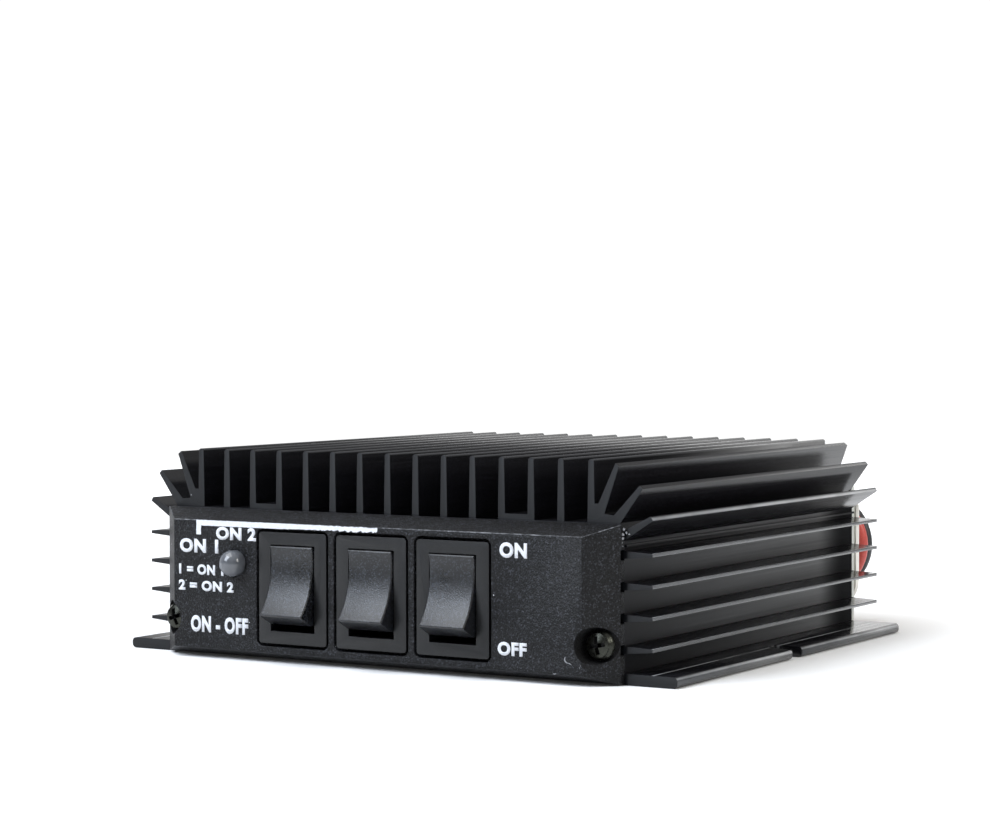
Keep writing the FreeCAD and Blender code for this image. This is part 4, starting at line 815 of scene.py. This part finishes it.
# painted shade at the bottom of the cross: almost black, dull
recessShade = mouldedPlastic("recessShade", {
    "colour": "#080808", "paleColour": "#101010", "roughness": 0.7, "ior": 1.5, "grain": 0.2, "bump": 0.01})
panHead = {"Head Radius": 2.74, "Head Height": 2.08, "Cross Length": 3.2, "Cross Width": 0.78,
           "Cross Depth": 1.25, "Shank Radius": 1.45}
sunkHead = {**panHead, "Head Radius": 2.78, "Head Height": 1.7, "Cross Depth": 1.0, "Cross Length": 2.8}
# shares of the head's radius at its foot and crown, and of its height at the rim
panShape = {"Foot": 1.0, "Crown": 0.8, "Rim Height": 0.72}
sunkShape = {"Foot": 0.5, "Crown": 1.0, "Rim Height": 1.0}
screwFinish = {
    "recessReach": 1.62,  # the painted shade lies this near the axis, and this far below the top
    "recessDrop": 0.45,
    "creaseAngle": 32,
    "rubbedHighlightWidth": 0.12,
    "rubbedHighlightAngle": 50,
}
screwSets = {
    # the seat is where the head's underside lies along the facing axis
    "front_panel_screws": {
        "piece": "frontPanelScrews", "facing": (0, -1, 0), "seat": -52.3, "head": panHead, "shape": panShape,
        "shank": 9.0, "seed": 4, "turn": 0.15, "spread": 0.2},
    "socket_screws": {
        "piece": "socketScrews", "facing": (0, 1, 0), "seat": 53.2, "head": panHead, "shape": panShape,
        "shank": 8.0, "seed": 9, "turn": 0.0, "spread": 1.5},
    "bottom_cover_screws": {
        "piece": "bottomCoverScrews", "facing": (0, 0, -1), "seat": 1.72, "head": sunkHead,
        "shape": sunkShape, "shank": 4.2, "seed": 2, "turn": 0.0, "spread": 1.5},
}
screws = screwTree()
identifiers = {item.name: item.identifier for item in screws.interface.items_tree if item.in_out == "INPUT"}
for nodeName, values in screwSets.items():
    facing, seat, head = Vector(values["facing"]), values["seat"] * mm, values["head"]
    spots = solidMiddles(nodeName)
    for spot in spots:
        spot[[abs(v) for v in values["facing"]].index(1)] = seat
    holder = newObject("spots", plainMesh("spots", spots))
    maker = holder.modifiers.new("screws", "NODES")
    maker.node_group = screws
    given = {name: size * mm for name, size in head.items()}
    given.update(values["shape"])
    given.update({
        "Shank Length": values["shank"] * mm, "Turn": values["turn"], "Turn Spread": values["spread"],
        "Facing": values["facing"], "Seed": values["seed"], "Material": materials[slotOf[nodeName]]})
    for name, value in given.items():
        maker[identifiers[name]] = value
    mesh = bakedMesh(holder, values["piece"])
    mesh.materials.clear()
    for material in (materials[slotOf[nodeName]], rubbedSteelHighlight, recessShade):
        mesh.materials.append(material)
    for face in mesh.polygons:
        # the cross lies near the screw's axis and below the top of the head
        ways = [face.center - spot for spot in spots]
        off = min((way - facing * way.dot(facing)).length for way in ways)
        rise = facing.dot(face.center) - seat * sum(values["facing"])
        inside = off < screwFinish["recessReach"] * mm and (
            rise < (head["Head Height"] - screwFinish["recessDrop"]) * mm)
        # faces inside the cross take the painted shade
        face.material_index = 2 if inside else 0
        face.use_smooth = True
    mesh.set_sharp_from_angle(angle=math.radians(screwFinish["creaseAngle"]))
    piece = newObject(values["piece"], mesh)
    # the pale rubbed steel on the softened edges is also a painted highlight
    softEdges(piece, screwFinish["rubbedHighlightWidth"], 2, screwFinish["rubbedHighlightAngle"]).material = 1
    carry(piece, slotOf[nodeName], nodeName)
print("screws done")

# coaxial sockets, in millimetres
socketValues = {
    "x": 37.6, "z": 17.4,
    "square": 25.4, "corner": 5.2, "flangeFront": 51.5, "flangeBack": 53.2, "edge": 0.15,
    "screwOffset": 9.1, "screwHole": 1.65,
    "barrel": 7.94, "neck": 7.64, "bore": 6.2, "front": 52.2, "start": 53.0, "end": 66.7,
    "pitch": 1.058, "threadDepth": 0.5,  # 24 turns per inch
    "threadStart": 53.4, "threadEnd": 66.35, "fadeIn": 1.0, "fadeOut": 0.5,
    "mouthEdge": 0.25, "rimEdge": 0.55,
    "around": 72, "rowsPerTurn": 8, "cornerSteps": 8, "holeSides": 32, "boreSides": 48, "creaseAngle": 35,
}


def closedLine(curve, places):
    line = curve.splines.new("POLY")
    line.points.add(len(places) - 1)
    for point, (x, y) in zip(line.points, places):
        point.co = (x, y, 0, 1)
    line.use_cyclic_u = True


def socketFlange(values):
    # a square plate with round corners, four screw holes and the barrel's hole
    curve = bpy.data.curves.new("flange", "CURVE")
    curve.dimensions = "2D"
    curve.fill_mode = "BOTH"
    curve.bevel_depth = values["edge"]
    curve.bevel_resolution = 2
    curve.offset = -values["edge"]
    curve.extrude = (values["flangeBack"] - values["flangeFront"]) / 2 - values["edge"]
    corner, offset = values["corner"], values["screwOffset"]
    inset = values["square"] / 2 - corner
    outline = []
    for quarter, (x, y) in enumerate(((1, 1), (-1, 1), (-1, -1), (1, -1))):
        for k in range(values["cornerSteps"] + 1):
            angle = math.pi / 2 * (quarter + k / values["cornerSteps"])
            outline.append((x * inset + corner * math.cos(angle), y * inset + corner * math.sin(angle)))
    closedLine(curve, outline)
    for x in (-offset, offset):
        for y in (-offset, offset):
            closedLine(curve, circlePoints(values["holeSides"], values["screwHole"], x, y))
    closedLine(curve, circlePoints(values["boreSides"], values["bore"]))
    mesh = bakedMesh(newObject("flange", curve), "flange")
    middle = (values["flangeFront"] + values["flangeBack"]) / 2
    for point in mesh.vertices:
        x, y, z = point.co
        point.co = (x * mm, (middle + z) * mm, y * mm)
    return mesh


def threadedBarrel(values):
    # the thread is one groove that winds round the barrel and fades out at both ends
    around, pitch, bore, end = values["around"], values["pitch"], values["bore"], values["end"]
    first, last = values["threadStart"], values["threadEnd"]
    steps = int((last - first) / (pitch / values["rowsPerTurn"]))
    rows = [[(values["neck"], values["start"])] * around]
    for k in range(steps + 1):
        y = first + (last - first) * k / steps
        fade = max(min(1.0, (y - first) / values["fadeIn"], (last - y) / values["fadeOut"]), 0.0)
        phases = [(y / pitch - j / around) % 1.0 for j in range(around)]
        rows.append([(values["barrel"] - values["threadDepth"] * fade * (1 - abs(2 * phase - 1)), y)
                     for phase in phases])
    for radius, y in ((values["barrel"] - values["rimEdge"], end), (bore + values["mouthEdge"], end),
                      (bore, end - values["mouthEdge"]), (bore, values["front"]),
                      (values["neck"], values["front"])):
        rows.append([(radius, y)] * around)
    points = [(radius * x * mm, y * mm, radius * z * mm)
              for row in rows for (radius, y), (x, z) in zip(row, circlePoints(around))]
    faces = []
    for i in range(len(rows)):
        low, high = i * around, (i + 1) % len(rows) * around
        for j in range(around):
            side = (j + 1) % around
            faces.append((low + j, low + side, high + side, high + j))
    return plainMesh("barrel", points, faces)


def joinMeshes(meshes, name):
    work = bmesh.new()
    for mesh in meshes:
        work.from_mesh(mesh)
    bmesh.ops.remove_doubles(work, verts=work.verts, dist=1e-7)
    bmesh.ops.recalc_face_normals(work, faces=work.faces)
    for face in work.faces:
        face.smooth = True
    return toMesh(work, name)


for side, direction in (("input", -1), ("output", 1)):
    pieceName = f"{side}SocketShell"
    shell = joinMeshes([socketFlange(socketValues), threadedBarrel(socketValues)], pieceName)
    for point in shell.vertices:
        point.co += Vector((direction * socketValues["x"], 0, socketValues["z"])) * mm
    shell.set_sharp_from_angle(angle=math.radians(socketValues["creaseAngle"]))
    shell.materials.append(materials["nickel"])
    carry(newObject(pieceName, shell), "nickel", f"{side}_socket_shell")
    softened(f"{side}_socket_insulator", f"{side}SocketInsulator", width=0.3)
    softened(f"{side}_socket_contact", f"{side}SocketContact", width=0.25)
print("sockets done")

# bare wire ends: six tinned strands in a twist round a seventh
strandValues = {"strands": 6, "radius": 0.23, "layRadius": 0.46, "turns": 1.6, "start": 5.1, "length": 9.0,
                "loose": 0.12, "sway": 3, "around": 8, "rows": 28}


def tube(work, rings):
    # walls between the rings of points, and a cap at each end
    for low, high in zip(rings, rings[1:]):
        for k in range(len(low)):
            side = (k + 1) % len(low)
            work.faces.new((low[k], low[side], high[side], high[k]))
    work.faces.new(rings[0])
    work.faces.new(rings[-1])


def twistedStrands(coil):
    values = strandValues
    outerTurn, along = coilEnd(coil)
    start = outerTurn + along * values["start"]
    across, up = Vector((-along.y, along.x, 0)), Vector((0, 0, 1))
    work = bmesh.new()
    for strand in range(values["strands"] + 1):
        lay = values["layRadius"] if strand else 0.0
        rings = []
        for row in range(values["rows"] + 1):
            share = row / values["rows"]
            angle = 2 * math.pi * (strand / values["strands"] + values["turns"] * share)
            spread = lay * (1 + values["loose"] * math.sin(share * values["sway"] + strand))
            spot = start + along * (values["length"] * share) + (
                across * math.cos(angle) + up * math.sin(angle)) * spread
            rings.append([work.verts.new((spot + across * x + up * z) * mm)
                          for x, z in circlePoints(values["around"], values["radius"])])
        tube(work, rings)
    return toMesh(work, "strands")


ends = [twistedStrands(wireValues[colour]) for colour in wires]
tips = newObject("wireTips", joinMeshes(ends, "wireTips"))
tips.data.materials.append(materials["tinned_brass"])
carry(tips, "tinned_brass", "wire_tips")
print("wire ends done")

# white print on the panel, in millimetres
printValues = {
    "colour": "#cfd2d9", "paleColour": "#e2e5ea", "roughness": 0.6, "ior": 1.5, "grain": 0.36, "bump": 0.05,
    "face": -56.39, "thickness": 0.05, "weight": 0.05, "spacing": 1.1,
    "words": {
        # left, right, bottom, top
        "ON 2": (-34.9, -25.5, 22.8, 25.3),
        "ON 1": (-43.6, -34.4, 20.1, 22.8),
        "1 = ON 1": (-43.8, -33.2, 15.9, 17.9),
        "2 = ON 2": (-43.9, -30.8, 12.8, 14.8),
        "ON - OFF": (-41.0, -27.4, 4.9, 8.1),
        "ON": (28.2, 33.9, 22.1, 24.9),
        "OFF": (27.8, 33.8, 4.6, 7.1),
    },
    # a bar with one leg; its edges are a little ragged, and worn away towards the right
    "bracket": {"left": -39.6, "right": 2.0, "top": 26.45, "middle": 25.9, "bottom": 25.35,
                "legRight": -38.5, "legBottom": 23.6, "step": 0.3, "ragged": 0.05, "topWear": 0.12,
                "bottomWear": 0.34, "wearFrom": -24, "wearTo": -2, "seed": 11},
}


def printedWord(words, place):
    text = bpy.data.curves.new("word", "FONT")
    text.body = words
    text.size = 1.0
    text.offset = printValues["weight"]
    text.space_character = printValues["spacing"]
    text.resolution_u = 4
    mesh = bakedMesh(newObject("word", text), "word")
    left, right, bottom, top = place
    xs = [point.co.x for point in mesh.vertices]
    ys = [point.co.y for point in mesh.vertices]
    wide, tall = (right - left) / (max(xs) - min(xs)), (top - bottom) / (max(ys) - min(ys))
    for point, x, y in zip(mesh.vertices, xs, ys):
        point.co = (left + wide * (x - min(xs)), 0, bottom + tall * (y - min(ys)))
    return mesh


def bracketOutline(values):
    rough, ragged = random.Random(values["seed"]), values["ragged"]
    corners = [(values["left"], values["legBottom"]), (values["legRight"], values["legBottom"]),
               (values["legRight"], values["bottom"]), (values["right"], values["bottom"]),
               (values["right"], values["top"]), (values["left"], values["top"])]
    places = []
    for (x0, z0), (x1, z1) in zip(corners, corners[1:] + corners[:1]):
        steps = max(2, int(math.hypot(x1 - x0, z1 - z0) / values["step"]))
        for k in range(steps):
            share = k / steps
            x, z = x0 + (x1 - x0) * share, z0 + (z1 - z0) * share
            upper = z > values["middle"]
            deepest = values["topWear" if upper else "bottomWear"]
            worn = ragged + deepest * ease(x, values["wearFrom"], values["wearTo"])
            places.append((x + rough.uniform(-ragged, ragged), 0,
                           z - rough.uniform(0, worn) * (1 if upper else -1)))
    return plainMesh("bracket", places, [list(range(len(places)))])


def raisedPrint(flats):
    # each flat shape becomes a thin closed solid on the panel's face
    work = bmesh.new()
    for mesh in flats:
        work.from_mesh(mesh)
    bmesh.ops.remove_doubles(work, verts=work.verts, dist=1e-5)
    bmesh.ops.recalc_face_normals(work, faces=work.faces)
    grown = bmesh.ops.extrude_face_region(work, geom=list(work.faces), use_keep_orig=True)
    for item in grown["geom"]:
        if isinstance(item, bmesh.types.BMVert):
            item.co.y -= printValues["thickness"]
    for point in work.verts:
        point.co = Vector((point.co.x, point.co.y + printValues["face"], point.co.z)) * mm
    bmesh.ops.recalc_face_normals(work, faces=work.faces)
    return toMesh(work, "panelPrint")


flats = [printedWord(words, place) for words, place in printValues["words"].items()]
flats.append(bracketOutline(printValues["bracket"]))
panelPrint = newObject("panelPrint", raisedPrint(flats))
# screen printed white ink: matt, follows the sandy paint under it
panelPrint.data.materials.append(mouldedPlastic("whiteInk", printValues))
carry(panelPrint, "panel_plastic")
print("print done")

# wear on the panel, in millimetres
wearValues = {
    "colour": "#5f6166", "paleColour": "#b4b6bb", "roughness": 0.6, "ior": 1.5, "grain": 0.25, "bump": 0.05,
    "face": (-56.39, -56.44),  # back and front of a scratch
    "taper": 0.45,
    # lines on the face: width, then x and z of each point
    "scratches": [
        (0.22, [(41.66, 5.14), (41.52, 4.61), (41.74, 4.3), (42.03, 4.11)]),
        (0.14, [(41.98, 4.14), (42.5, 4.05), (42.94, 3.81)]),
        (0.12, [(44.5, 3.6), (44.62, 3.2)]),
        (0.1, [(44.72, 3.9), (44.78, 3.66)]),
        (0.16, [(39.2, 2.05), (39.5, 1.98), (39.8, 2.12)]),
    ],
    # crumbs of raised material on the rim: x, y, z and size
    "burrs": [(50.2, -50.6, 27.6, 0.6), (50.7, -50.5, 27.0, 0.55), (50.1, -50.8, 26.7, 0.7),
              (51.2, -50.4, 26.7, 0.35), (50.1, -50.8, 26.0, 0.6), (50.0, -50.9, 25.3, 0.5),
              (50.1, -50.8, 24.6, 0.3)],
    "uneven": (0.5, 1.3),
    "seed": 5,
}


def scratchSolid(work, width, line):
    # a thin raised ribbon along the points
    back, front = wearValues["face"]
    rings = []
    for k, (x, z) in enumerate(line):
        before, after = line[max(k - 1, 0)], line[min(k + 1, len(line) - 1)]
        along = Vector((after[0] - before[0], after[1] - before[1])).normalized()
        half = width / 2 * (wearValues["taper"] if k in (0, len(line) - 1) else 1.0)
        across = Vector((-along.y, along.x)) * half
        rings.append([work.verts.new(Vector((x + sign * across.x, y, z + sign * across.y)) * mm)
                      for sign, y in ((1, back), (1, front), (-1, front), (-1, back))])
    tube(work, rings)


wear = bmesh.new()
for width, line in wearValues["scratches"]:
    scratchSolid(wear, width, line)
chance = random.Random(wearValues["seed"])
for x, y, z, size in wearValues["burrs"]:
    crumb = bmesh.ops.create_icosphere(wear, subdivisions=1, radius=size / 2 * mm)
    for point in crumb["verts"]:
        rough = Vector([c * chance.uniform(*wearValues["uneven"]) for c in point.co])
        point.co = rough + Vector((x, y, z)) * mm
bmesh.ops.recalc_face_normals(wear, faces=wear.faces)
panelWear = newObject("panelWear", toMesh(wear, "panelWear"))
# raw plastic where the paint is scraped: pale grey, matt
panelWear.data.materials.append(mouldedPlastic("scrapedPaint", wearValues))
carry(panelWear, "panel_plastic")
print("wear done")

for colour, others in (("red", ["wireTips", "coilTie"]), ("black", [])):
    round(splineLength(wires[colour]), 3)
